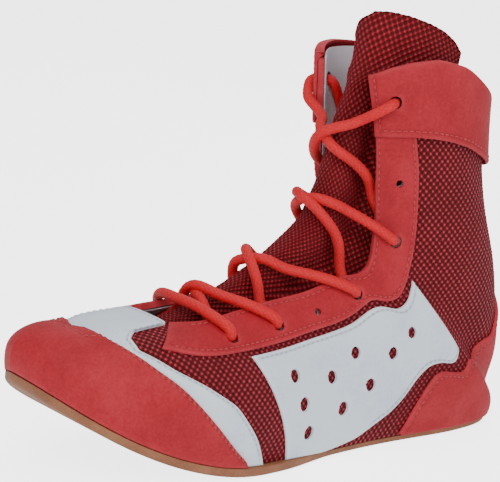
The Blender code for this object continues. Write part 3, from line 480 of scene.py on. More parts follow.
def spaced(length, step, last=True):
    """For each length, shares from 0 to 1 about a step apart, closer together near its ends."""
    length = np.atleast_1d(length).astype(float)
    shrink = np.minimum(1.0, 0.4 * length / SEAM_STEPS[-1])
    near = SEAM_STEPS[None, :] * (shrink / length)[:, None]
    start = near[:, -1:]
    stop = 1.0 - near[:, -1:] if last else np.ones((len(length), 1))
    count = max(3, int(np.mean(length * (stop - start)[:, 0]) / step) + 2)
    inner = start + (stop - start) * np.linspace(0.0, 1.0, count)[None, :]
    parts = [near[:, :-1], inner]
    if last:
        parts.append(1.0 - near[:, -2::-1])
    return np.concatenate(parts, 1)


def rays_between(low, high, s):
    """Where rays start on one outline and end on another, and how long they are over the boot."""
    a, b = at(low, s), at(high, s)
    t = np.linspace(0.0, 1.0, 14)[None, :, None]
    rays = a[:, None, :] * (1.0 - t) + b[:, None, :] * t
    return a, b, np.maximum(lengths(on_layer(rays, GRID_LEVEL)), 0.05)


def fitted(low, high, step, last=True):
    """A grid of (station, share) between two dense outlines, with closer lines near its edges."""
    even_shares = np.linspace(0, 1, 80)
    middle = at(low, even_shares) * 0.5 + at(high, even_shares) * 0.5
    a, b, across = rays_between(low, high, spaced(lengths(on_layer(middle, GRID_LEVEL)), step, last)[0])
    t = spaced(across, step)[..., None]
    return a[:, None, :] * (1.0 - t) + b[:, None, :] * t


def both(domain):
    """A half whose last row lies on the middle line, and its mirror image, as one grid."""
    return np.concatenate([domain, mirrored(domain)[::-1][1:]])


def seam(low, high, distance, span=(0.0, 1.0)):
    """A line of (station, share) at a distance in millimetres from the low outline towards the high one."""
    a, b, across = rays_between(low, high, np.linspace(span[0], span[1], 500))
    t = np.minimum(distance / across, 0.5)[:, None]
    return a * (1.0 - t) + b * t


def distance_to(points, borders):
    """How far each point of a grid is from the nearest border point."""
    every = np.concatenate([border.reshape(-1, 3) for border in borders])
    tree = KDTree(len(every))
    for index, point in enumerate(every):
        tree.insert(point, index)
    tree.balance()
    flat = points.reshape(-1, 3)
    found = np.array([tree.find(point)[2] for point in flat])
    return found.reshape(points.shape[:-1])


def grid_border(points):
    return [points[0], points[-1], points[:, 0], points[:, -1]]


def grid_faces(rows, columns):
    """The numbers of a grid's points, and of the four corners of each of its faces."""
    index = np.arange(rows * columns).reshape(rows, columns)
    corners = [index[:-1, :-1], index[1:, :-1], index[1:, 1:], index[:-1, 1:]]
    return index, np.stack(corners, -1).reshape(-1, 4)


def values_of(items, name, width=1, kind=np.float32):
    """One property of every item, as an array."""
    found = np.zeros(len(items) * width, kind)
    items.foreach_get(name, found)
    return found if width == 1 else found.reshape(-1, width)


def rounded(distance, radius):
    inside = 1.0 - np.clip(distance / radius, 0.0, 1.0)
    return np.sqrt(np.maximum(1.0 - inside * inside, 0.0))


def flat_uv(points):
    """Flat coordinates in millimetres for a grid of points, with v going up."""
    rows, columns = points.shape[:2]
    mesh = bpy.data.meshes.new("flat")
    mesh.from_pydata(points.reshape(-1, 3).tolist(), [], grid_faces(rows, columns)[1].tolist())
    mesh.uv_layers.new(name="flat")
    obj = linked("flat", mesh)
    bpy.context.view_layer.objects.active = obj
    obj.select_set(True)
    bpy.ops.object.mode_set(mode="EDIT")
    bpy.ops.mesh.select_all(action="SELECT")
    bpy.ops.uv.unwrap(method="CONFORMAL", margin=0.0)
    bpy.ops.object.mode_set(mode="OBJECT")
    uv = np.zeros((rows * columns, 2))
    uv[values_of(mesh.loops, "vertex_index", kind=np.int32)] = values_of(mesh.uv_layers[0].uv, "vector", 2)
    bpy.data.objects.remove(obj)
    bpy.data.meshes.remove(mesh)
    uv = uv.reshape(rows, columns, 2)
    real = np.linalg.norm(np.diff(points, axis=0), axis=-1)
    drawn = np.linalg.norm(np.diff(uv, axis=0), axis=-1)
    wide = real > 0.2
    uv *= np.median(real[wide] / np.maximum(drawn[wide], 1e-9))
    spread = uv.reshape(-1, 2) - uv.reshape(-1, 2).mean(0)
    rise = points[..., 2].reshape(-1) - points[..., 2].mean()
    slope = np.linalg.lstsq(spread, rise, rcond=None)[0]
    slope /= np.linalg.norm(slope)
    turn = np.array([[slope[1], slope[0]], [-slope[0], slope[1]]])
    return (spread @ turn).reshape(rows, columns, 2)


def weave(uv):
    """The open fabric's relief, from -1 in a hole to 1 on a knot."""
    return np.cos(2.0 * math.pi * uv[..., 0] / WEAVE[0]) * np.cos(2.0 * math.pi * uv[..., 1] / WEAVE[1])


def add_object(name, mesh, look):
    mesh.materials.clear()
    mesh.materials.append(look)
    return linked(name, mesh)


def placed(obj, node, body="boot"):
    """Fix a finished piece to its body and hide the frame part that it stands for."""
    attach(obj, body)
    if node:
        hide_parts(node)
    return obj


def smooth_shade(mesh, degrees=40.0):
    mesh.polygons.foreach_set("use_smooth", [True] * len(mesh.polygons))
    mesh.set_sharp_from_angle(angle=math.radians(degrees))
    mesh.update()


def facing_out(mesh):
    """Turn the faces of closed shapes outwards."""
    build = bmesh.new()
    build.from_mesh(mesh)
    bmesh.ops.recalc_face_normals(build, faces=build.faces)
    build.to_mesh(mesh)
    build.free()


def closed_mesh(name, top, under, uv=None, zipped=False, **values):
    """A closed mesh between two grids of points, with flat coordinates and a value per point where given."""
    rows, columns = top.shape[:2]
    count = rows * columns
    index, quads = grid_faces(rows, columns)
    ring = np.concatenate([index[0, :-1], index[:-1, -1], index[-1, :0:-1], index[:0:-1, 0]])
    after = np.roll(ring, -1)
    wall = np.stack([ring, after, after + count, ring + count], -1)
    faces = np.concatenate([quads, quads[:, ::-1] + count, wall])
    mesh = bpy.data.meshes.new(name)
    points = np.concatenate([top.reshape(-1, 3), under.reshape(-1, 3)])
    mesh.from_pydata(to_row(points).tolist(), [], faces.tolist())
    if uv is None:
        uv = np.zeros((rows, columns, 2))
    flat = np.concatenate([uv.reshape(-1, 2), uv.reshape(-1, 2) + [0.7, 0.9]])
    corners = flat[values_of(mesh.loops, "vertex_index", kind=np.int32)]
    mesh.uv_layers.new(name="flat").uv.foreach_set("vector", corners.astype(np.float32).ravel())
    for key, grid in values.items():
        found = mesh.attributes.new(key, "FLOAT", "POINT")
        found.data.foreach_set("value", np.concatenate([grid.ravel(), grid.ravel()]).astype(np.float32))
    build = bmesh.new()
    build.from_mesh(mesh)
    bmesh.ops.remove_doubles(build, verts=build.verts, dist=0.00002)
    if zipped:
        met = {}
        for face in build.faces:
            met.setdefault(frozenset(face.verts), []).append(face)
        twins = [face for same in met.values() if len(same) > 1 for face in same]
        bmesh.ops.delete(build, geom=twins, context="FACES")
    bmesh.ops.dissolve_degenerate(build, edges=build.edges, dist=0.000002)
    bmesh.ops.recalc_face_normals(build, faces=build.faces)
    if build.calc_volume(signed=True) < 0.0:
        bmesh.ops.reverse_faces(build, faces=build.faces)
    build.to_mesh(mesh)
    build.free()
    smooth_shade(mesh)
    return mesh


def applied(obj):
    """The object's mesh with its modifiers in it."""
    graph = bpy.context.evaluated_depsgraph_get()
    mesh = bpy.data.meshes.new_from_object(obj.evaluated_get(graph))
    old = obj.data
    obj.modifiers.clear()
    obj.data = mesh
    mesh.name = obj.name
    bpy.data.meshes.remove(old)
    return obj


def cutters(name, holes, low, high):
    """Round cutters square to the surface, as one object. Each hole is (station, share, radius)."""
    build = bmesh.new()
    for station, share, radius in holes:
        inner = Vector(to_row(layer(station, share, low)))
        outer = Vector(to_row(layer(station, share, high)))
        turn = (outer - inner).to_track_quat("Z", "Y").to_matrix().to_4x4()
        place = Matrix.Translation((inner + outer) / 2.0) @ turn
        bmesh.ops.create_cone(build, cap_ends=True, segments=28, radius1=radius / 1000.0,
                              radius2=radius / 1000.0, depth=(outer - inner).length, matrix=place)
    mesh = bpy.data.meshes.new(name)
    build.to_mesh(mesh)
    build.free()
    return linked(name, mesh)


def drilled(obj, cutter):
    hole = obj.modifiers.new("holes", "BOOLEAN")
    hole.operation = "DIFFERENCE"
    hole.solver = "EXACT"
    hole.object = cutter
    applied(obj)
    smooth_shade(obj.data)
    return obj


def seated(domain, height, level):
    """The points of a domain at their heights, with their foot drawn down onto the sole."""
    station, share = domain[..., 0], domain[..., 1]
    points = layer(station, share, height)
    side = np.where(share < 0.0, -1.0, 1.0)
    foot = layer(np.minimum(station, HEEL_LAST), side, np.full(share.shape, level))
    gap = np.clip(foot[..., 2] - sole_top(foot) - 0.03, 0.0, 6.5)
    rise = points[..., 2] - sole_top(points) - gap
    points[..., 2] -= gap * smooth(np.clip(1.0 - rise / 11.0, 0.0, 1.0))
    return points


def panel(name, domain, level, look, groove=(), puff=0.15, fold=None, relief=0.0, holes=(), unevenness=0.1,
          zipped=False):
    """A panel with rounded edges, a groove along each line of stitches and, for fabric, its weave in relief.

    A fold is (column, depth, width): the edge at that column is turned under. A zipped panel's grid ends in
    one point on the middle line, which isn't an edge.
    """
    low, top = level
    flat = on_layer(domain, top)
    borders = grid_border(flat)
    if zipped:
        borders = [line[np.abs(share) > 0.004] for line, share in zip(borders, grid_border(domain[..., 1]))]
    for station, share, radius in holes:
        centre = layer(station, share, top)
        side = layer(station + 0.02, share, top) - centre
        side /= np.linalg.norm(side)
        other = np.cross(side, normal(station, share))
        turn = np.linspace(0.0, 2.0 * math.pi, 60)[:, None]
        borders.append(centre + radius * (np.cos(turn) * side + np.sin(turn) * other))
    d = distance_to(flat, borders)
    height = top - (top - low) * EDGE_DROP * (1.0 - rounded(d, EDGE_RADIUS))
    dent = np.zeros(d.shape)
    if len(groove):
        g = distance_to(flat, [on_layer(line, top) for line in groove])
        dent = np.exp(-((g / GROOVE[1]) ** 2))
        swelling = np.exp(-(((d - PUFF_FROM_EDGE[0]) / PUFF_FROM_EDGE[1]) ** 2))
        height = height - GROOVE[0] * dent + puff * swelling * (g < PUFF_REACH)
    bend = np.sin(flat[..., 0] * 0.21 + 1.3) * np.sin(flat[..., 2] * 0.17 + flat[..., 1] * 0.13)
    height = height + unevenness * (bend - 1.0) * 0.5 * np.clip(d / 4.0, 0.0, 1.0)
    uv = None
    if relief > 0.0:
        uv = flat_uv(flat)
        height = height + relief * 0.5 * (weave(uv) - 1.0) * np.clip(d / 0.8, 0.0, 1.0)
    under = np.full(d.shape, low)
    if fold is not None:
        column, depth, width = fold
        under = low - depth * smooth(1.0 - distance_to(flat, [flat[:, column]]) / width)
    # The dent values also darken the leather's colour in its grooves: painted shade.
    mesh = closed_mesh(name, seated(domain, height, top), seated(domain, under, low), uv, zipped,
                       rim=np.exp(-d / 0.9), dent=dent)
    return add_object(name, mesh, look)


# ---------------------------------------------------------------- stitches
# Along a stitch from its middle, the thread's radius there and its height over the leather.
STITCH_RINGS = [(-1.2, 0.1, -0.34), (-0.95, 0.26, -0.1), (-0.45, 0.32, 0.1), (0.0, 0.33, 0.15),
                (0.45, 0.32, 0.1), (0.95, 0.26, -0.1), (1.2, 0.1, -0.34)]
STITCH_SIDES = 6
STITCH_PITCH = 3.1
THREAD_SUNK = 0.2


def stitches(name, lines, height, look):
    """Separate short threads along lines of (station, share), sunk at both ends."""
    points = []
    faces = []
    for line in lines:
        path = on_layer(line, height)
        out = normal(line[:, 0], line[:, 1])
        run = run_along(path)
        for centre in 1.0 + STITCH_PITCH * (0.5 + np.arange(int((run[-1] - 2.0) / STITCH_PITCH))):
            place = sampled(path, run, centre)
            away = sampled(out, run, centre)
            away /= np.linalg.norm(away)
            along = sampled(path, run, centre + 0.6) - place
            along -= away * (along @ away)
            along /= max(np.linalg.norm(along), 1e-9)
            across = np.cross(away, along)
            start = len(points)
            for shift, radius, lift in STITCH_RINGS:
                for side in range(STITCH_SIDES):
                    angle = 2.0 * math.pi * side / STITCH_SIDES
                    points.append(place + along * shift + away * (lift + radius * math.sin(angle))
                                  + across * radius * 1.15 * math.cos(angle))
            for ring in range(len(STITCH_RINGS) - 1):
                for side in range(STITCH_SIDES):
                    a = start + ring * STITCH_SIDES + side
                    b = start + ring * STITCH_SIDES + (side + 1) % STITCH_SIDES
                    faces.append((a, b, b + STITCH_SIDES, a + STITCH_SIDES))
            last = start + (len(STITCH_RINGS) - 1) * STITCH_SIDES
            faces.append(tuple(range(start + STITCH_SIDES - 1, start - 1, -1)))
            faces.append(tuple(range(last, last + STITCH_SIDES)))
    mesh = bpy.data.meshes.new(name)
    mesh.from_pydata(to_row(np.array(points)).tolist(), [], faces)
    smooth_shade(mesh, 60.0)
    facing_out(mesh)
    return add_object(name, mesh, look)


def stitched(piece, node, name, rows, level, thread_look):
    """Place a panel of the upper and its threads."""
    placed(piece, node)
    placed(stitches(name, rows, level[1] - THREAD_SUNK, thread_look), None)


# ---------------------------------------------------------------- materials
class Look:
    """A material being wired: its tree, its shader and a few shorthands."""

    def __init__(self, name, roughness):
        self.material = bpy.data.materials.new(name)
        self.material.use_nodes = True
        self.tree = self.material.node_tree
        self.shader = self.tree.nodes["Principled BSDF"]
        self.shader.inputs["Roughness"].default_value = roughness

    def node(self, kind, **inputs):
        found = self.tree.nodes.new(kind)
        for key, value in inputs.items():
            found.inputs[key.replace("_", " ")].default_value = value
        return found

    def join(self, source, target):
        self.tree.links.new(source, target)

    def place(self):
        return self.node("ShaderNodeTexCoord").outputs["Object"]

    def flat(self):
        found = self.node("ShaderNodeUVMap")
        found.uv_map = "flat"
        return found.outputs["UV"]

    def value(self, name):
        found = self.node("ShaderNodeAttribute")
        found.attribute_name = name
        return found.outputs["Fac"]

    def parts(self, where):
        found = self.node("ShaderNodeSeparateXYZ")
        self.join(where, found.inputs[0])
        return found.outputs

    def texture(self, kind, where, output, **inputs):
        found = self.node("ShaderNodeTex" + kind, **inputs)
        self.join(where, found.inputs["Vector"])
        return found.outputs[output]

    def noise(self, where, scale, detail=3.0, roughness=0.55):
        return self.texture("Noise", where, "Fac", Scale=scale, Detail=detail, Roughness=roughness)

    def cells(self, where, scale):
        return self.texture("Voronoi", where, "Distance", Scale=scale)

    def fibres(self, where, bands, **inputs):
        found = self.texture("Wave", where, "Fac", **inputs)
        found.node.bands_direction = bands
        return found

    def math(self, kind, first, second=None):
        found = self.node("ShaderNodeMath")
        found.operation = kind
        for socket, value in zip(found.inputs, (first, second)):
            if isinstance(value, (int, float)):
                socket.default_value = value
            elif value is not None:
                self.join(value, socket)
        return found.outputs[0]

    def times(self, first, second):
        return self.math("MULTIPLY", first, second)

    def blend(self, *weighted):
        """The sum of two values, each times its weight."""
        return self.math("ADD", *[self.times(value, weight) for value, weight in weighted])

    def spread(self, value, low, high, to_low, to_high):
        found = self.node("ShaderNodeMapRange", From_Min=low, From_Max=high, To_Min=to_low, To_Max=to_high)
        self.join(value, found.inputs["Value"])
        return found.outputs["Result"]

    def ramp(self, value, *stops):
        found = self.node("ShaderNodeValToRGB")
        for index, (position, colour) in enumerate(stops):
            elements = found.color_ramp.elements
            stop = elements[index] if index < 2 else elements.new(position)
            stop.position = position
            stop.color = (*colour, 1.0)
        self.join(value, found.inputs["Fac"])
        return found.outputs["Color"]

    def tinted(self, factor, colour, other):
        found = self.node("ShaderNodeMix")
        found.data_type = "RGBA"
        self.join(factor, found.inputs["Factor"])
        self.join(colour, found.inputs[6])
        found.inputs[7].default_value = (*other, 1.0)
        return found.outputs[2]

    def bump(self, height, strength, distance, after=None):
        found = self.node("ShaderNodeBump", Strength=strength, Distance=distance)
        self.join(height, found.inputs["Height"])
        if after is not None:
            self.join(after, found.inputs["Normal"])
        return found.outputs["Normal"]

    def sheen(self, weight, roughness, tint=(1.0, 1.0, 1.0)):
        for key, value in (("Weight", weight), ("Roughness", roughness), ("Tint", (*tint, 1.0))):
            self.shader.inputs["Sheen " + key].default_value = value

    def finish(self, colour, bump, roughness=None):
        self.join(colour, self.shader.inputs["Base Color"])
        self.join(bump, self.shader.inputs["Normal"])
        if roughness is not None:
            self.join(roughness, self.shader.inputs["Roughness"])
        return self.material


def leather(name, deep, middle, pale, nap=1.0, roughness=(0.62, 0.8), sheen=0.105):
    """Grained leather with a soft nap, worn a little along its edges, and with painted shade in its stitch
    grooves.
    """
    look = Look(name, roughness[0])
    where = look.place()
    mixed = look.blend((look.noise(where, 38.0, 4.0, 0.6), 0.62), (look.noise(where, 620.0, 3.0, 0.7), 0.38))
    colour = look.ramp(mixed, (0.30, deep), (0.50, middle), (0.72, pale))
    worn = look.times(look.value("rim"), look.times(look.noise(where, 210.0), 0.75))
    colour = look.tinted(worn, colour, tuple(min(1.0, c * 1.25 + 0.05) for c in pale))
    # Painted shade: the colour is darkened along the stitch grooves, where the dent values are high.
    groove_painted_shade = look.times(look.value("dent"), 0.45)
    colour = look.tinted(groove_painted_shade, colour, tuple(c * 0.55 for c in deep))
    creased = look.bump(look.noise(where, 120.0, 5.0, 0.6), 0.35, 0.0006)
    grained = look.bump(look.cells(where, 1250.0), 0.35 * nap, 0.00022, creased)
    napped = look.bump(look.noise(where, 2600.0, 2.0, 0.7), 0.30 * nap, 0.00015, grained)
    look.sheen(sheen, 0.45, (1.0, 0.45, 0.45))
    return look.finish(colour, napped, look.spread(mixed, 0.3, 0.7, roughness[1], roughness[0]))


def open_mesh(name, hole, yarn, knot_highlight, sheen=0.24):
    """Open warp-knit fabric: knots with a painted highlight between holes darkened with painted shade, in
    step with its relief.
    """
    look = Look(name, 0.4)
    flat = look.flat()
    along, up = (look.math("COSINE", look.times(part, 2.0 * math.pi / repeat))
                 for part, repeat in zip(look.parts(flat), WEAVE))
    where = look.place()
    uneven = look.times(look.math("SUBTRACT", look.noise(where, 900.0, 2.0), 0.5), 0.9)
    knot = look.math("ADD", look.times(along, up), uneven)
    cloudy = look.times(look.math("SUBTRACT", look.noise(where, 45.0, 2.0), 0.5), 0.5)
    shade = look.spread(look.math("ADD", knot, cloudy), -1.0, 1.0, 0.0, 1.0)
    # The colour follows the relief: painted shade in the weave's holes and a painted highlight on its knots.
    colour = look.ramp(shade, (0.24, hole), (0.62, yarn), (1.0, knot_highlight))
    fibre = look.fibres(flat, "X", Scale=0.55, Distortion=3.0, Detail=2.0)
    rough = look.bump(fibre, 0.35, 0.00012, look.bump(knot, 0.75, 0.00045))
    look.sheen(sheen, 0.3, (1.0, 0.3, 0.4))
    look.shader.inputs["Specular IOR Level"].default_value = 0.3
    return look.finish(colour, rough, look.spread(shade, 0.35, 0.95, 0.8, 0.3))


def knitted(name, deep, middle, pale, pitch=1.3):
    """Fine ribbed lining cloth, with its pitch in millimetres."""
    look = Look(name, 0.85)
    where = look.place()
    rib, wale = (look.math("SINE", look.times(look.parts(where)[axis], 2.0 * math.pi * 1000.0 / pitch))
                 for axis in (2, 1))
    uneven = look.times(look.noise(where, 800.0, 3.0), 0.3)
    shade = look.math("ADD", look.spread(look.times(rib, wale), -1.0, 1.0, 0.3, 0.55), uneven)
    cloudy = look.times(look.noise(where, 55.0, 3.0), 0.25)
    # The colour follows the bump's height, so the knit's hollows are painted darker: painted shade.
    colour = look.ramp(look.math("ADD", shade, cloudy), (0.35, deep), (0.62, middle), (0.9, pale))
    look.sheen(0.5, 0.5)
    return look.finish(colour, look.bump(shade, 0.6, 0.00025))


def rubber(name, deep, middle, pale):
    """Smooth gum rubber with a pebbled skin."""
    look = Look(name, 0.55)
    where = look.place()
    mixed = look.blend((look.noise(where, 60.0, 5.0, 0.62), 0.7), (look.noise(where, 1500.0, 2.0, 0.6), 0.3))
    colour = look.ramp(mixed, (0.3, deep), (0.5, middle), (0.72, pale))
    pebbled = look.bump(look.cells(where, 900.0), 0.25, 0.0002)
    rough = look.bump(look.noise(where, 250.0, 4.0), 0.25, 0.0004, pebbled)
    return look.finish(colour, rough, look.spread(mixed, 0.3, 0.7, 0.5, 0.68))


def thread(name, deep, pale):
    """Twisted sewing thread."""
    look = Look(name, 0.5)
    where = look.place()
    colour = look.ramp(look.noise(where, 900.0, 3.0, 0.7), (0.3, deep), (0.7, pale))
    twist = look.fibres(where, "DIAGONAL", Scale=900.0, Distortion=2.0)
    look.sheen(0.1, 0.5)
    return look.finish(colour, look.bump(twist, 0.5, 0.00012))


def cord_look(name, deep, middle, pale):
    """Braided cord: flat coordinates run round it and along it."""
    look = Look(name, 0.6)
    where = look.place()
    # The colour darkens into the grooves between the braid's strands: painted shade.
    shade = look.blend((look.value("strand"), 0.55), (look.noise(where, 700.0, 3.0, 0.65), 0.45))
    colour = look.ramp(shade, (0.18, deep), (0.5, middle), (0.85, pale))
    fibre = look.fibres(look.flat(), "DIAGONAL", Scale=2.2, Distortion=1.5, Detail=2.0)
    rough = look.bump(look.noise(where, 2200.0, 2.0), 0.3, 0.0001, look.bump(fibre, 0.4, 0.00015))
    look.sheen(0.15, 0.4, (1.0, 0.5, 0.4))
    return look.finish(colour, rough, look.spread(shade, 0.2, 0.9, 0.75, 0.5))


def board_look(name, deep, pale, roughness, grain):
    """Pressed board, felt or film."""
    look = Look(name, roughness)
    where = look.place()
    mixed = look.blend((look.noise(where, 50.0, 4.0), 0.5), (look.noise(where, grain, 3.0, 0.7), 0.5))
    colour = look.ramp(mixed, (0.32, deep), (0.68, pale))
    return look.finish(colour, look.bump(look.noise(where, grain, 3.0), 0.4, 0.0002))


LEATHER = leather("red_nubuck", (0.29, 0.001, 0.008), (0.42, 0.003, 0.014), (0.52, 0.014, 0.030))
WHITE = leather("white_leather", (0.66, 0.78, 0.92), (0.80, 0.90, 1.0), (0.88, 0.96, 1.0), 0.5, (0.38, 0.5),
                0.015)
# Each open mesh's first colour is painted shade for its holes, and its last is a painted highlight for its
# knots.
MESH = open_mesh("red_open_mesh", (0.07, 0.0, 0.001), (0.15, 0.0, 0.003), (0.62, 0.03, 0.06))
TONGUE_MESH = open_mesh("tongue_mesh", (0.08, 0.0, 0.001), (0.18, 0.0, 0.003), (0.44, 0.010, 0.03), 0.09)
LINING_LOOK = knitted("lining_knit", (0.36, 0.31, 0.37), (0.60, 0.55, 0.62), (0.76, 0.72, 0.78))
SOCK_LOOK = knitted("sock_knit", (0.30, 0.27, 0.31), (0.52, 0.48, 0.53), (0.66, 0.62, 0.67), 1.7)
GUM = rubber("gum_rubber", (0.19, 0.066, 0.028), (0.30, 0.115, 0.050), (0.40, 0.18, 0.085))
RED_THREAD = thread("red_thread", (0.40, 0.010, 0.016), (0.62, 0.05, 0.06))
GREY_THREAD = thread("grey_thread", (0.34, 0.42, 0.50), (0.58, 0.66, 0.74))
LACE_LOOK = cord_look("lace_braid", (0.32, 0.0, 0.003), (0.66, 0.002, 0.009), (0.88, 0.012, 0.018))
TIP_LOOK = board_look("lace_tip_film", (0.42, 0.01, 0.008), (0.68, 0.03, 0.02), 0.25, 900.0)
BOARD_LOOK = board_look("fibre_board", (0.36, 0.27, 0.17), (0.56, 0.45, 0.31), 0.85, 1200.0)
STIFF_LOOK = board_look("stiffener_felt", (0.50, 0.47, 0.40), (0.72, 0.69, 0.62), 0.8, 1500.0)


# ---------------------------------------------------------------- tongue
def tongue_height(station, share):
    """How high the tongue's outer face lies over the reference surface."""
    tied = read(EYESTAY_INNER, station)
    free = smooth((station - 18.6) / 1.6)
    gap = tied * (1.0 - free) + 0.5 * free
    tucked = smooth((np.abs(share) / gap - 0.2) / 0.6)
    return read(TONGUE_RISE, station) * (1.0 - tucked) + read(TONGUE_TUCK, station) * tucked


def tongue_station(station, across):
    """Where the tongue's long lines lie: towards the top they bend down at both edges."""
    return station - read(TONGUE_DROP, across) * smooth((station - 16.0) / 6.16)


def tongue_share(station, across):
    """Where the tongue's cross-lines lie: across runs from -1 on the inner edge to 1 on the outer one."""
    return across * read(TONGUE_HALF, station) + read(TONGUE_SHIFT, station)


def grid_normals(points):
    """Unit normals of a grid, facing away from the foot."""
    found = np.cross(np.gradient(points, axis=1), np.gradient(points, axis=0))
    return found / np.maximum(np.linalg.norm(found, axis=-1, keepdims=True), 1e-9)


# ---------------------------------------------------------------- lace
OVER = COVER[0] + COVER[1] + 0.5 + LACE / 2.0
OVER_BAND = OUTER[0] + OUTER[1] + 0.5 + LACE / 2.0
UNDER = LINING[0] - 0.5 - LACE / 2.0


def over_at(station):
    return OVER_BAND if station > 18.3 else OVER


def lace_run(start, end, lift, bar=False):
    """Waypoints (station, share, height) from one hole to the next, ending inside the next hole."""
    u0, v0 = start
    u1, v1 = end
    sign = 1.0 if v0 > 0.0 else -1.0
    edge0 = read(EYESTAY_INNER, u0 + 0.12 * (u1 - u0))
    edge1 = read(EYESTAY_INNER, u0 + 0.88 * (u1 - u0))
    steps = []
    v_from = sign * edge0
    v_to = -sign * edge1
    total = abs(v0) + abs(v1)

    def at(share):
        return u0 + (u1 - u0) * abs(share - v0) / total

    if not bar:
        steps.append((u0, v0, -4.4))
        steps.append((u0, v0, -8.0))
        steps.append((at(v0 - sign * 0.035), v0 - sign * 0.035, UNDER))
    middle = 0.5 * (abs(v0) + edge0)
    steps.append((at(sign * middle), sign * middle, OVER if bar else UNDER))
    steps.append((at(v_from), v_from, OVER if bar else UNDER))
    for k in (0.72, 0.48, 0.25, 0.0, -0.25, -0.48, -0.72):
        share = sign * k * (edge0 if k > 0 else edge1)
        station = float(at(share))
        height = float(tongue_height(station, share)) + 0.5 + LACE / 2.0
        height += lift * math.exp(-((k / 0.42) ** 2))
        if k < 0:
            height = max(height, OVER)
        if bar:
            height = max(height, OVER + 0.6)
        steps.append((station, share, height))
    steps.append((at(v_to), v_to, over_at(at(v_to)) + 0.3))
    beyond = -sign * 0.5 * (abs(v1) + edge1)
    steps.append((at(beyond), beyond, over_at(at(beyond)) + 0.1))
    steps.append((at(v1 + sign * 0.03), v1 + sign * 0.03, over_at(u1) - 0.1))
    return steps


def lace_half(sign, others, lifts):
    """From the first bar's middle through every hole on the way to this end's tip."""
    holes = [(EYELETS[index][0], sign * way * EYELETS[index][1]) for index, way in others]
    steps = []
    for first, second, lift in zip(holes, holes[1:], lifts):
        steps += lace_run(first, second, lift)
    last = holes[-1]
    way = 1.0 if last[1] > 0.0 else -1.0
    steps.append((last[0], last[1], -3.0))
    steps.append((last[0], last[1], -7.0))
    for station, share in ((18.8, 0.285), (18.45, 0.33), (18.0, 0.38), (17.55, 0.42), (17.1, 0.455)):
        steps.append((station, way * share, UNDER - 0.5))
    return steps


# The outer half starts in the first outer hole, the inner half in the first inner hole.
ROUTE = ((0, 1.0), (1, -1.0), (3, 1.0), (4, -1.0), (6, 1.0))
first_half = lace_half(1.0, ROUTE, (0.0, 0.0, 4.9, 4.9))
second_half = lace_half(-1.0, ROUTE, (4.9, 4.9, 0.0, 0.0))
low_station, low_share = EYELETS[0]
bar = lace_run((low_station, low_share), (low_station, -low_share), 0.0, bar=True)
bar = [(low_station, low_share - 0.03, OVER - 0.1)] + bar
way_points = np.array([[float(value) for value in row] for row in first_half[::-1] + bar + second_half])


def free_layer(station, share, height, flared=True):
    """A point at a height over the reference surface, wherever that is."""
    return surface(station, share, flared) + np.asarray(height)[..., None] * normal(station, share, flared)


def smooth_path(points, spacing, rounds):
    """A path through the points at an even spacing, with its corners eased."""
    run = run_along(points)
    path = sampled(points, run, np.linspace(0.0, run[-1], int(run[-1])))
    for _ in range(rounds):
        path[1:-1] = path[1:-1] * 0.5 + (path[:-2] + path[2:]) * 0.25
    run = run_along(path)
    return sampled(path, run, np.linspace(0.0, run[-1], int(run[-1] / spacing)))


def flap_points(sign):
    """Points over the faces, the front edge and the hole walls of one laced flap."""
    station = np.repeat(np.linspace(5.15, 19.9, 190)[:, None], 18, 1)
    share = read(EYESTAY_INNER, station) + np.linspace(0.0, 0.25, 18)[None, :]
    top = np.where(station > 17.6, OUTER[0] + OUTER[1], COVER[0] + COVER[1])
    found = []
    holes = [free_layer(u, sign * v, COVER[0]) for k, (u, v) in enumerate(EYELETS) if k not in EMPTY_HOLES]
    for height in (top, np.full(station.shape, LINING[0])):
        face = free_layer(station, sign * share, height).reshape(-1, 3)
        for hole in holes:
            face = face[np.linalg.norm(face - hole, axis=1) > EYELET / 2.0 + 1.6]
        found.append(face)
    for height in np.linspace(LINING[0], COVER[0] + COVER[1], 5):
        edge = np.linspace(5.15, 19.5, 240)
        found.append(free_layer(edge, sign * read(EYESTAY_INNER, edge), np.full(edge.shape, height)))
        for k, (u, v) in enumerate(EYELETS):
            if k in EMPTY_HOLES:
                continue
            if k == len(EYELETS) - 1 and height > COVER[0]:
                height = OUTER[0] + OUTER[1]
            centre = free_layer(u, sign * v, height)
            along = free_layer(u + 0.01, sign * v, height) - centre
            along /= np.linalg.norm(along)
            across = np.cross(normal(u, sign * v), along)
            turn = np.linspace(0.0, 2.0 * math.pi, 24, endpoint=False)[:, None]
            found.append(centre + (np.cos(turn) * along + np.sin(turn) * across) * EYELET / 2.0)
    return np.concatenate(found)


dense_station = np.repeat(np.linspace(4.6, 20.5, 200)[:, None], 61, 1)
dense_share = tongue_share(dense_station, np.linspace(-1.0, 1.0, 61)[None, :])
tongue_face = free_layer(dense_station, dense_share, tongue_height(dense_station, dense_share), False)
tongue_out = grid_normals(tongue_face).reshape(-1, 3)
tongue_face = tongue_face.reshape(-1, 3)
tongue_root = free_layer(4.55, 0.0, -9.6)


def swung(points, degrees):
    """Vectors of the tongue turned inwards about a level line across the boot."""
    c, s = math.cos(math.radians(degrees)), math.sin(math.radians(degrees))
    x, y, z = points[..., 0], points[..., 1], points[..., 2]
    return np.stack([x * c - z * s, y, x * s + z * c], -1)


swings = [(turn, swung(tongue_face - tongue_root, turn) + tongue_root, swung(tongue_out, turn))
          for turn in np.linspace(0.0, TONGUE_SWING, 5)]
flaps = np.concatenate([flap_points(1.0), flap_points(-1.0)])


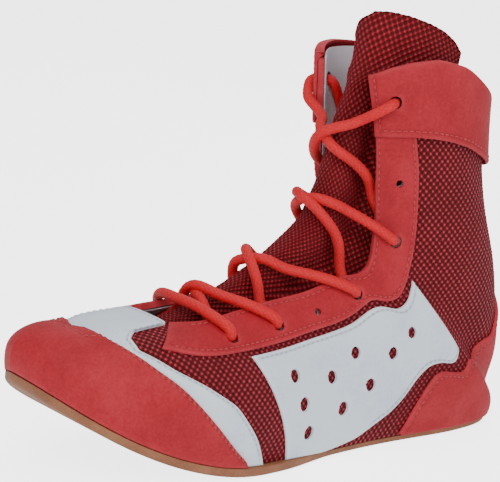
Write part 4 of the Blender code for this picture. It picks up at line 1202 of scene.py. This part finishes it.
def clear(path, distance):
    """The path with each point moved off the tongue's outer face, wherever it swings, and off both flaps."""
    moved = path.copy()
    for index, point in enumerate(path):
        for turn, face, out in swings:
            nearest = np.argmin(((face - moved[index]) ** 2).sum(-1))
            offset = moved[index] - face[nearest]
            depth = float(offset @ out[nearest])
            beside = float(np.linalg.norm(offset - depth * out[nearest]))
            if depth < distance and (turn == 0.0 or beside < LACE):
                moved[index] = moved[index] + (distance - depth) * out[nearest]
        away = moved[index] - flaps[np.argmin(((flaps - moved[index]) ** 2).sum(-1))]
        reach = float(np.linalg.norm(away))
        if reach < distance:
            moved[index] = moved[index] + away / reach * (distance - reach)
    return moved


lace_path = smooth_path(free_layer(*way_points.T), 1.0, 4)
for _ in range(12):
    lace_path = smooth_path(clear(lace_path, LACE / 2.0 + 0.65), 1.0, 1)
lace_path = smooth_path(clear(lace_path, LACE / 2.0 + 0.62), 3.1, 0)


CORD = 5.2  # the braid across, in millimetres: a little more than the stiff cord of the frame
STRANDS = 8
CORD_SIDES = 32
CORD_STEP = 0.5


def even(path, step):
    """The path at an even step, with its bends rounded over about 5 mm."""
    run = run_along(path)
    return relaxed(sampled(path, run, np.linspace(0.0, run[-1], int(run[-1] / step))), int(5.0 / step))


def frames(path):
    """Unit directions along, beside and above a path, turning as little as they can."""
    along = np.gradient(path, axis=0)
    along /= np.linalg.norm(along, axis=1, keepdims=True)
    beside = np.zeros_like(path)
    first = np.cross(along[0], [0.0, 0.0, 1.0])
    beside[0] = first / np.linalg.norm(first)
    for index in range(1, len(path)):
        moved = beside[index - 1] - along[index] * (beside[index - 1] @ along[index])
        beside[index] = moved / np.linalg.norm(moved)
    return along, beside, np.cross(along, beside)


def ring_mesh(name, path, radii, look, strand=None):
    """A tube along a path, with a radius for every ring and side."""
    _, beside, above = frames(path)
    rings, sides = radii.shape
    angle = np.linspace(0.0, 2.0 * math.pi, sides, endpoint=False)
    points = (path[:, None] + radii[..., None] * (np.cos(angle)[None, :, None] * beside[:, None]
                                                  + np.sin(angle)[None, :, None] * above[:, None]))
    index = np.arange(rings * sides).reshape(rings, sides)
    after = np.roll(index, -1, axis=1)
    quads = np.stack([index[:-1], after[:-1], after[1:], index[1:]], -1).reshape(-1, 4)
    faces = quads.tolist() + [index[0, ::-1].tolist(), index[-1].tolist()]
    mesh = bpy.data.meshes.new(name)
    mesh.from_pydata(to_row(points.reshape(-1, 3)).tolist(), [], faces)
    if strand is not None:
        found = mesh.attributes.new("strand", "FLOAT", "POINT")
        found.data.foreach_set("value", strand.astype(np.float32).ravel())
    start, side = np.meshgrid(np.arange(rings - 1), np.arange(sides), indexing="ij")
    round_step = 2.0 * math.pi * radii.mean() / sides
    run = run_along(path)
    corners = ((start, side), (start, side + 1), (start + 1, side + 1), (start + 1, side))
    uv = np.stack([np.stack([column * round_step, run[row]], -1) for row, column in corners], 2)
    uv = np.concatenate([uv.reshape(-1, 2), np.zeros((2 * sides, 2))])
    mesh.uv_layers.new(name="flat").uv.foreach_set("vector", uv.astype(np.float32).ravel())
    smooth_shade(mesh, 70.0)
    facing_out(mesh)
    return add_object(name, mesh, look)


lace_line = even(lace_path, CORD_STEP)
lace_run_mm = run_along(lace_line)
turn = np.linspace(0.0, 2.0 * math.pi, CORD_SIDES, endpoint=False)[None, :]
lay_phase = 2.0 * math.pi * lace_run_mm[:, None] / 11.0
left = np.cos(STRANDS * (turn + lay_phase * 0.5))
right = np.cos(STRANDS * (turn - lay_phase * 0.5))
braid = 0.5 * np.maximum(left, right) + 0.5 * left * right
ends = np.clip(np.minimum(lace_run_mm, lace_run_mm[-1] - lace_run_mm) / 4.0, 0.0, 1.0)[:, None]
radii = (CORD / 2.0 - 0.14 + 0.14 * braid) * (0.82 + 0.18 * smooth(ends))
lace = ring_mesh("lace_cord", lace_line, radii, LACE_LOOK, strand=(braid + 1.0) / 2.0)
placed(lace, "lace")
for which, end, before in (("first", lace_path[0], lace_path[3]), ("second", lace_path[-1], lace_path[-4])):
    way = (end - before) / np.linalg.norm(end - before)
    steps = np.linspace(0.0, 1.0, 30)
    line = end[None, :] + way[None, :] * (-0.4 + (AGLET_LENGTH + 0.6) * steps[:, None])
    taper = AGLET / 2.0 * (0.86 + 0.14 * rounded(AGLET_LENGTH * np.minimum(steps, 1.0 - steps), 1.5))
    taper = taper + 0.05 * (np.abs((steps * AGLET_LENGTH) % 4.5 - 2.2) < 0.5)
    tip = ring_mesh("lace_tip_" + which, line, np.repeat(taper[:, None], 24, 1), TIP_LOOK)
    placed(tip, "aglet_" + which)
print("lace length", round(float(lace_run_mm[-1]), 1), "mm")

# ---------------------------------------------------------------- sole
def solid_sheet(name, inset, low, thickness, look, edge):
    """A closed sheet between two curved faces, with rounded edges."""
    outer, inner = bottom_outline(inset, 200)
    t = spaced(np.maximum(np.linalg.norm(outer - inner, axis=1), 0.02), 1.6)[..., None]
    plan = outer[:, None, :] * (1.0 - t) + inner[:, None, :] * t
    border = np.concatenate([outer, inner])
    border = np.concatenate([border, (border + np.roll(border, -1, axis=0)) / 2.0])
    seen_flat = [1.0, 1.0, 0.0]
    roll = 1.0 - rounded(distance_to(plan * seen_flat, [border * seen_flat]), edge)
    bottom = low(plan[..., 0])
    tall = thickness(plan[..., 0])
    under = plan.copy()
    under[..., 2] = bottom + tall * 0.45 * roll
    over = plan.copy()
    over[..., 2] = bottom + tall - tall * 0.08 * roll
    return add_object(name, closed_mesh(name, over, under, plan[..., :2]), look)


sole = solid_sheet("sole_gum", sole_inset, sole_height, sole_thickness, GUM, 1.7)
placed(sole, "outsole")
sock = solid_sheet("sock_liner_knit", flat_inset(10.4), above_sole(0.8 + BOARD_THICKNESS),
                   flat_inset(SOCK_THICKNESS), SOCK_LOOK, 1.4)
placed(sock, "sock_liner")

# ---------------------------------------------------------------- toe
# The inner and outer face of each layer of the upper, over the reference surface in millimetres.
FABRIC_LEVEL = (-6.6, -5.75)
COVER_LEVEL = (-5.7, -4.2)
OUTER_LEVEL = (-4.15, -2.6)
LINING_LEVEL = (-8.4, -7.6)
CAP_ROWS = (2.4, 5.2)  # how far the cap's two rows of stitches are from its edge, in millimetres
STRIP_ROW = 2.0
EVENED = 6.0  # how far from the toe point the cap is evened out, in millimetres


def ray_outlines(top, foot):
    """Dense lower and upper outlines over the toe, from one side to the tip."""
    fan = np.linspace(FAN_LAST, 0.0, 160)[1:]
    tops = np.concatenate([eased(top, 220, 40), np.stack([fan, np.zeros_like(fan)], -1)])
    feet = np.concatenate([resample(foot, 220), np.stack([fan, np.ones_like(fan)], -1)])
    return feet, tops


def cap_row(offset):
    """A stitch line along the cap's top edge, carried over the toe point to the middle line."""
    edge = eased(CAP_TOP, 220, 40)
    last = np.interp(-0.2, -edge[:, 1], np.linspace(0.0, 1.0, len(edge)))
    fan = np.linspace(2.5, 0.0, 60)
    rays = np.stack(np.meshgrid(fan, np.linspace(0.0, 1.0, 30), indexing="ij"), -1)
    reach = offset / np.cos(np.radians(85.0) * fan / FAN_LAST)
    over = np.stack([fan, reach / lengths(on_layer(rays, GRID_LEVEL))], -1)
    return np.concatenate([seam(edge, resample(CAP_FOOT, 220), offset, span=(0.02, last)), over])


def evened(piece, centre, radius):
    """Even out a piece around one point, where the rays of its grid meet."""
    build = bmesh.new()
    build.from_mesh(piece.data)
    middle = Vector(to_row(centre))
    near = [vert for vert in build.verts if (vert.co - middle).length < radius * 0.001]
    for _ in range(24):
        bmesh.ops.smooth_vert(build, verts=near, factor=0.5, use_axis_x=True, use_axis_y=True,
                              use_axis_z=True)
    build.to_mesh(piece.data)
    build.free()
    smooth_shade(piece.data)


def toe_cap():
    rows = on_both(cap_row(CAP_ROWS[0])) + on_both(cap_row(CAP_ROWS[1]))
    grid = both(fitted(*ray_outlines(CAP_TOP, CAP_FOOT), 1.5, last=False))
    cap = panel("toe_cap_nubuck", grid, OUTER_LEVEL, LEATHER, rows, zipped=True)
    evened(cap, layer(float(FAN_LAST), 0.0, OUTER_LEVEL[1]), EVENED)
    stitched(cap, "toe_cap", "toe_cap_stitches", rows, OUTER_LEVEL, RED_THREAD)


def toe_lining():
    grid = both(fitted(*ray_outlines([(5.05, 0.0), (3.0, 0.0)], [(5.05, 1.0), (3.0, 1.0)]), 2.5, last=False))
    lining = panel("toe_lining_knit", grid, LINING_LEVEL, LINING_LOOK, puff=0.0, unevenness=0.0, zipped=True)
    placed(lining, "vamp_lining")


def white_strip():
    """The strip between the cap and the vamp, with its tab over the middle line."""
    hidden = [(3.0, 0.29), (2.95, 0.17), (3.0, 0.0)]
    low = chained(eased(STRIP_UNDER, 200, 40), resample([STRIP_UNDER[-1]] + hidden[:2], 120),
                  resample(hidden[1:], 60))
    high = chained(eased(STRIP_TOP, 200, 40), eased(TAB_SIDE, 120, 20),
                   resample([TAB_SIDE[-1], (5.12, 0.0)], 60))
    relaxed(high, 20)
    rows = on_both(seam(high, low, STRIP_ROW, span=(0.02, 1.0)))
    strip = panel("vamp_strip_white", both(fitted(low, high, 1.2, last=False)), COVER_LEVEL, WHITE, rows)
    stitched(strip, "vamp_strip", "vamp_strip_stitches", rows, COVER_LEVEL, GREY_THREAD)


toe_cap()
toe_lining()
white_strip()


# ---------------------------------------------------------------- sides
FABRIC_STEP = 0.7
EYELET_HOLE = 3.0  # radius
EMPTY_HOLE = 1.7
STAY_ROW = 2.8  # how far a row of stitches is from the piece's edge, in millimetres
SADDLE_ROW = 2.4
COLLAR_ROW = 3.0
COUNTER_ROW = 2.8
STAY_FOLD = (0, 1.8, 3.0)  # the folded edge's column, depth and width
COLLAR_FOLD = (0, 3.3, 4.0)


def fine_rows(first, last, top, low, step):
    """A fine grid for a panel whose ends depend on the row and whose edges depend on the station."""
    columns, rows = 200, 60
    coarse = rows_domain(first, last, top, low, columns, rows)
    c = spaced(lengths(on_layer(coarse[:, rows // 2], -6.0)), step)[0]
    r = spaced(lengths(on_layer(coarse[columns // 2], -6.0)), step)[0]
    along = np.stack([sampled(coarse[:, row], np.linspace(0, 1, columns), c) for row in range(rows)], 1)
    return np.stack([sampled(line, np.linspace(0, 1, rows), r) for line in along])


def trimmed(domain):
    """The same domain kept a little off the back line, so that two halves leave a seam."""
    kept = domain.copy()
    most = 1.0 - 0.0028 * np.clip((kept[..., 0] - HEEL_LAST + 0.5) / 0.5, 0.0, 1.0)
    kept[..., 1] = np.minimum(kept[..., 1], most)
    return kept


def straight_end(station):
    return [(0.0, station), (1.0, station)]


FOOT = [(0.0, 1.0)]
vamp_fine = fine_rows(VAMP_START, straight_end(VAMP_END), VAMP_TOP, FOOT, FABRIC_STEP)
quarter_fine = fine_rows(straight_end(QUARTER_START), QUARTER_END, QUARTER_TOP, MESH_LOW, FABRIC_STEP)
lining_fine = fine_rows(straight_end(LINING_START), LINING_TOP, LINING_SIDE, FOOT, 2.0)
stay_inner = eased(EYESTAY_INNER[:-2] + [(19.36, 0.146)], 500, 80)
stay_outer = eased(EYESTAY_OUTER[:-1] + [(19.1, 0.346)], 500, 160)
stay_fine = fitted(stay_inner, stay_outer, 1.2)
saddle_top = eased(SADDLE_TOP, 300, 60)
saddle_low = eased(SADDLE_LOW, 300, 60)
saddle_fine = fitted(saddle_top, saddle_low, 1.1)


def fabrics(side, sign, cutter):
    """The open mesh and the lining of one side."""
    vamp = panel("vamp_fabric_" + side, on_side(vamp_fine, sign), FABRIC_LEVEL, MESH, relief=0.5, puff=0.0)
    placed(drilled(vamp, cutter), "vamp_mesh_" + side)
    quarter = panel("quarter_fabric_" + side, on_side(trimmed(quarter_fine), sign), FABRIC_LEVEL, MESH,
                    relief=0.5, puff=0.0)
    placed(quarter, "quarter_mesh_" + side)
    lining = panel("quarter_lining_knit_" + side, on_side(trimmed(lining_fine), sign), LINING_LEVEL,
                   LINING_LOOK, puff=0.0, unevenness=0.0)
    placed(drilled(lining, cutter), "quarter_lining_" + side)


def eyestay(side, sign, cutter):
    rows = [on_side(seam(stay_inner, stay_outer, STAY_ROW, span=(0.03, 0.9)), sign),
            on_side(seam(stay_outer, stay_inner, STAY_ROW, span=(0.01, 0.94)), sign)]
    holes = [(station, sign * share, EYELET_HOLE) for index, (station, share) in enumerate(EYELETS)
             if index not in EMPTY_HOLES]
    stay = panel("eyestay_nubuck_" + side, on_side(stay_fine, sign), COVER_LEVEL, LEATHER, rows, holes=holes,
                 fold=STAY_FOLD)
    stitched(drilled(stay, cutter), "eyestay_" + side, "eyestay_stitches_" + side, rows,
             COVER_LEVEL, RED_THREAD)


def side_panel(side, sign):
    vents = [(station, sign * share, radius) for station, share, radius in VENTS]
    rows = [on_side(seam(saddle_top, saddle_low, SADDLE_ROW, span=(0.01, 0.99)), sign),
            on_side(seam(saddle_low, saddle_top, SADDLE_ROW, span=(0.32, 0.99)), sign)]
    saddle = panel("side_panel_white_" + side, on_side(saddle_fine, sign), COVER_LEVEL, WHITE, rows,
                   holes=vents)
    cutter = cutters("vents_" + side, vents, -6.2, -2.0)
    stitched(drilled(saddle, cutter), "side_panel_" + side, "side_panel_stitches_" + side,
             rows, COVER_LEVEL, GREY_THREAD)
    bpy.data.objects.remove(cutter)


def collar_band(eyelet_cutters):
    top = eased(COLLAR_TOP, 300, 50)
    low = eased(COLLAR_LOW, 300, 50)
    front = np.stack([top[12] * (1.0 - k) + low[12] * k for k in np.linspace(0.02, 0.98, 60)])
    rows = on_both(seam(low, top, COLLAR_ROW, span=(0.04, 1.0))) + on_both(front)
    station, share = EYELETS[-1]
    band = panel("collar_band_nubuck", both(fitted(top, low, 1.5, last=False)), OUTER_LEVEL, LEATHER, rows,
                 fold=COLLAR_FOLD, holes=[(station, share, EYELET_HOLE), (station, -share, EYELET_HOLE)])
    for cutter in eyelet_cutters:
        drilled(band, cutter)
        bpy.data.objects.remove(cutter)
    stitched(band, "collar_band", "collar_stitches", rows, OUTER_LEVEL, RED_THREAD)


def heel_cover():
    low = eased(COUNTER_FOOT, 300, 30)
    high = eased(COUNTER_EDGE, 300, 110)
    rows = on_both(seam(high, low, COUNTER_ROW, span=(0.02, 1.0)))
    counter = panel("heel_cover_nubuck", both(fitted(low, high, 1.5, last=False)), COVER_LEVEL, LEATHER, rows,
                    puff=0.3)
    stitched(counter, "heel_cover", "heel_cover_stitches", rows, COVER_LEVEL, RED_THREAD)


eyelet_cutters = []
for side, sign in (("lateral", 1.0), ("medial", -1.0)):
    holes = [(station, sign * share, EMPTY_HOLE if index in EMPTY_HOLES else EYELET_HOLE)
             for index, (station, share) in enumerate(EYELETS)]
    cutter = cutters("eyelets_" + side, holes, -11.0, 0.5)
    eyelet_cutters.append(cutter)
    fabrics(side, sign, cutter)
    eyestay(side, sign, cutter)
    side_panel(side, sign)
collar_band(eyelet_cutters)
heel_cover()

# ---------------------------------------------------------------- tongue
# In millimetres, with heights over the tongue's outer face.
PAD_STEP = 2.6
PAD_FACES = ((-0.75, -1.5), (-2.0, -3.5))  # the pad's outer and inner face, at its edge and away from it
PAD_EDGE = 2.2
PAD_RISE = 1.0  # the furthest that a point of the pad may move
KNIT_RELIEF = 0.25
TONGUE_ENDS = (4.55, 22.16)  # stations


def tongue_grid(step, narrower=0.0):
    """The tongue's outer face as a grid of points, all of it or a share narrower."""
    ends = np.linspace(*TONGUE_ENDS, 400)
    run = run_along(free_layer(ends, np.zeros(400), read(TONGUE_RISE, ends), False))
    station = np.interp(spaced(run[-1], step)[0] * run[-1], run, ends)
    wide = free_layer(np.full(60, 12.0), np.linspace(-0.42, 0.42, 60), np.full(60, 0.0), False)
    t = (spaced(lengths(wide), step)[0] * 2.0 - 1.0) * (1.0 - narrower)
    station = tongue_station(np.repeat(station[:, None], len(t), 1), t[None, :])
    share = tongue_share(station, t[None, :])
    return free_layer(station, share, tongue_height(station, share), False)


def offset_grid(points, level):
    return points + np.asarray(level)[..., None] * grid_normals(points)


def tongue_pad():
    grid = tongue_grid(PAD_STEP)
    edge = distance_to(grid, grid_border(grid))
    soft = rounded(edge, PAD_EDGE)
    faces = [offset_grid(grid, np.full(edge.shape, rim) + (middle - rim) * soft) for rim, middle in PAD_FACES]
    return add_object("tongue_pad", closed_mesh("tongue_pad", *faces, flat_uv(grid), rim=np.exp(-edge / 1.5)),
                      TONGUE_MESH)


def swell(obj, limit):
    """Inflates the pad as sewn cloth with air in it, then fixes the result in its mesh."""
    start = values_of(obj.data.vertices, "co", 3, np.float64)
    rim = values_of(obj.data.attributes["rim"].data, "value")
    group = obj.vertex_groups.new(name="sewn")
    for index in np.nonzero(rim > 0.6)[0]:
        group.add([int(index)], 1.0, "REPLACE")
    cloth = obj.modifiers.new("cloth", "CLOTH").settings
    cloth.quality = 5
    cloth.mass = 0.2
    cloth.tension_stiffness = 12.0
    cloth.compression_stiffness = 8.0
    cloth.bending_stiffness = 0.4
    cloth.use_pressure = True
    cloth.uniform_pressure_force = 4.0
    cloth.effector_weights.gravity = 0.0
    cloth.vertex_group_mass = "sewn"
    scene = bpy.context.scene
    for step in range(1, 21):
        scene.frame_set(step)
    shaped = obj.evaluated_get(bpy.context.evaluated_depsgraph_get()).to_mesh()
    moved = values_of(shaped.vertices, "co", 3, np.float64) - start
    far = np.linalg.norm(moved, axis=1, keepdims=True)
    moved *= np.minimum(1.0, limit / 1000.0 / np.maximum(far, 1e-9))
    obj.modifiers.clear()
    obj.data.vertices.foreach_set("co", (start + moved).ravel())
    obj.data.update()
    scene.frame_set(1)


def knit(obj):
    """Subdivides the pad and puts the fabric's weave on it in relief."""
    finer = obj.modifiers.new("finer", "SUBSURF")
    finer.levels = 2
    finer.render_levels = finer.levels
    mesh = applied(obj).data
    uv = np.zeros((len(mesh.vertices), 2))
    corners = values_of(mesh.loops, "vertex_index", kind=np.int32)
    uv[corners] = values_of(mesh.uv_layers["flat"].uv, "vector", 2)
    out = values_of(mesh.vertices, "normal", 3, np.float64)
    shift = KNIT_RELIEF / 1000.0 * (weave(uv) - 1.0)[:, None] * out
    mesh.vertices.foreach_set("co", (values_of(mesh.vertices, "co", 3, np.float64) + shift).ravel())
    smooth_shade(mesh, 60.0)


pad = tongue_pad()
swell(pad, PAD_RISE)
knit(pad)
placed(pad, "tongue", "tongue")
thin = tongue_grid(2.2, 0.08)
thin_faces = [offset_grid(thin, np.full(thin.shape[:2], level)) for level in (-4.05, -4.6)]
tongue_lining = add_object("tongue_lining_knit", closed_mesh("tongue_lining_knit", *thin_faces), LINING_LOOK)
placed(tongue_lining, "tongue_lining", "tongue")


# ---------------------------------------------------------------- pieces kept from the frame
for node, look in (("lasting_board", BOARD_LOOK), ("toe_puff", STIFF_LOOK), ("heel_stiffener", STIFF_LOOK)):
    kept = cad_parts[node]
    kept.data.materials.clear()
    kept.data.materials.append(look)

# ---------------------------------------------------------------- studio
def studio_floor():
    """Pale paper that glows a little where the camera sees it, so that it stays nearly white."""
    look = Look("studio_paper", 0.75)
    where = look.place()
    pale = look.ramp(look.noise(where, 3.0), (0.3, (0.93, 0.93, 0.94)), (0.7, (0.95, 0.95, 0.96)))
    look.finish(pale, look.bump(look.noise(where, 400.0), 0.1, 0.0002))
    look.join(pale, look.shader.inputs["Emission Color"])
    seen = look.node("ShaderNodeLightPath").outputs["Is Camera Ray"]
    look.join(look.math("ADD", look.times(seen, 3.2), 0.35), look.shader.inputs["Emission Strength"])
    mesh = bpy.data.meshes.new("floor")
    mesh.from_pydata([(-4.0, -4.0, 0.0), (4.0, -4.0, 0.0), (4.0, 4.0, 0.0), (-4.0, 4.0, 0.0)], [],
                     [(0, 1, 2, 3)])
    return add_object("floor", mesh, look.material)


def area_light(name, azimuth, tilt, distance, size, power, tint=(1.0, 1.0, 1.0)):
    """A soft square light aimed at the boot, placed by its direction."""
    back = direction(azimuth, tilt)
    lamp = bpy.data.lights.new(name, "AREA")
    lamp.shape = "SQUARE"
    lamp.size = size
    lamp.energy = power
    lamp.color = tint
    obj = linked(name, lamp)
    obj.location = Vector((0.0, -0.02, 0.09)) + back * distance
    obj.rotation_euler = back.to_track_quat("Z", "Y").to_euler()


def studio_world():
    """A white surround, brighter where the camera sees it than where it lights the boot."""
    world = bpy.data.worlds.new("studio")
    bpy.context.scene.world = world
    world.use_nodes = True
    nodes = world.node_tree.nodes
    join = world.node_tree.links.new
    choice = nodes.new("ShaderNodeMixShader")
    join(nodes.new("ShaderNodeLightPath").outputs["Is Camera Ray"], choice.inputs[0])
    for sky, strength, into in ((nodes["Background"], 0.4, 1), (nodes.new("ShaderNodeBackground"), 4.2, 2)):
        sky.inputs["Color"].default_value = (1.0, 1.0, 1.0, 1.0)
        sky.inputs["Strength"].default_value = strength
        join(sky.outputs[0], choice.inputs[into])
    join(choice.outputs[0], nodes["World Output"].inputs["Surface"])


floor = studio_floor()
area_light("key", 38.0, 40.0, 1.3, 0.7, 9.0, (1.0, 0.985, 0.97))
area_light("fill", 105.0, 25.0, 1.4, 1.0, 4.0, (0.95, 0.97, 1.0))
area_light("top", 0.0, 88.0, 1.5, 1.2, 5.0)
area_light("rim", 215.0, 38.0, 1.4, 0.9, 4.0)
studio_world()
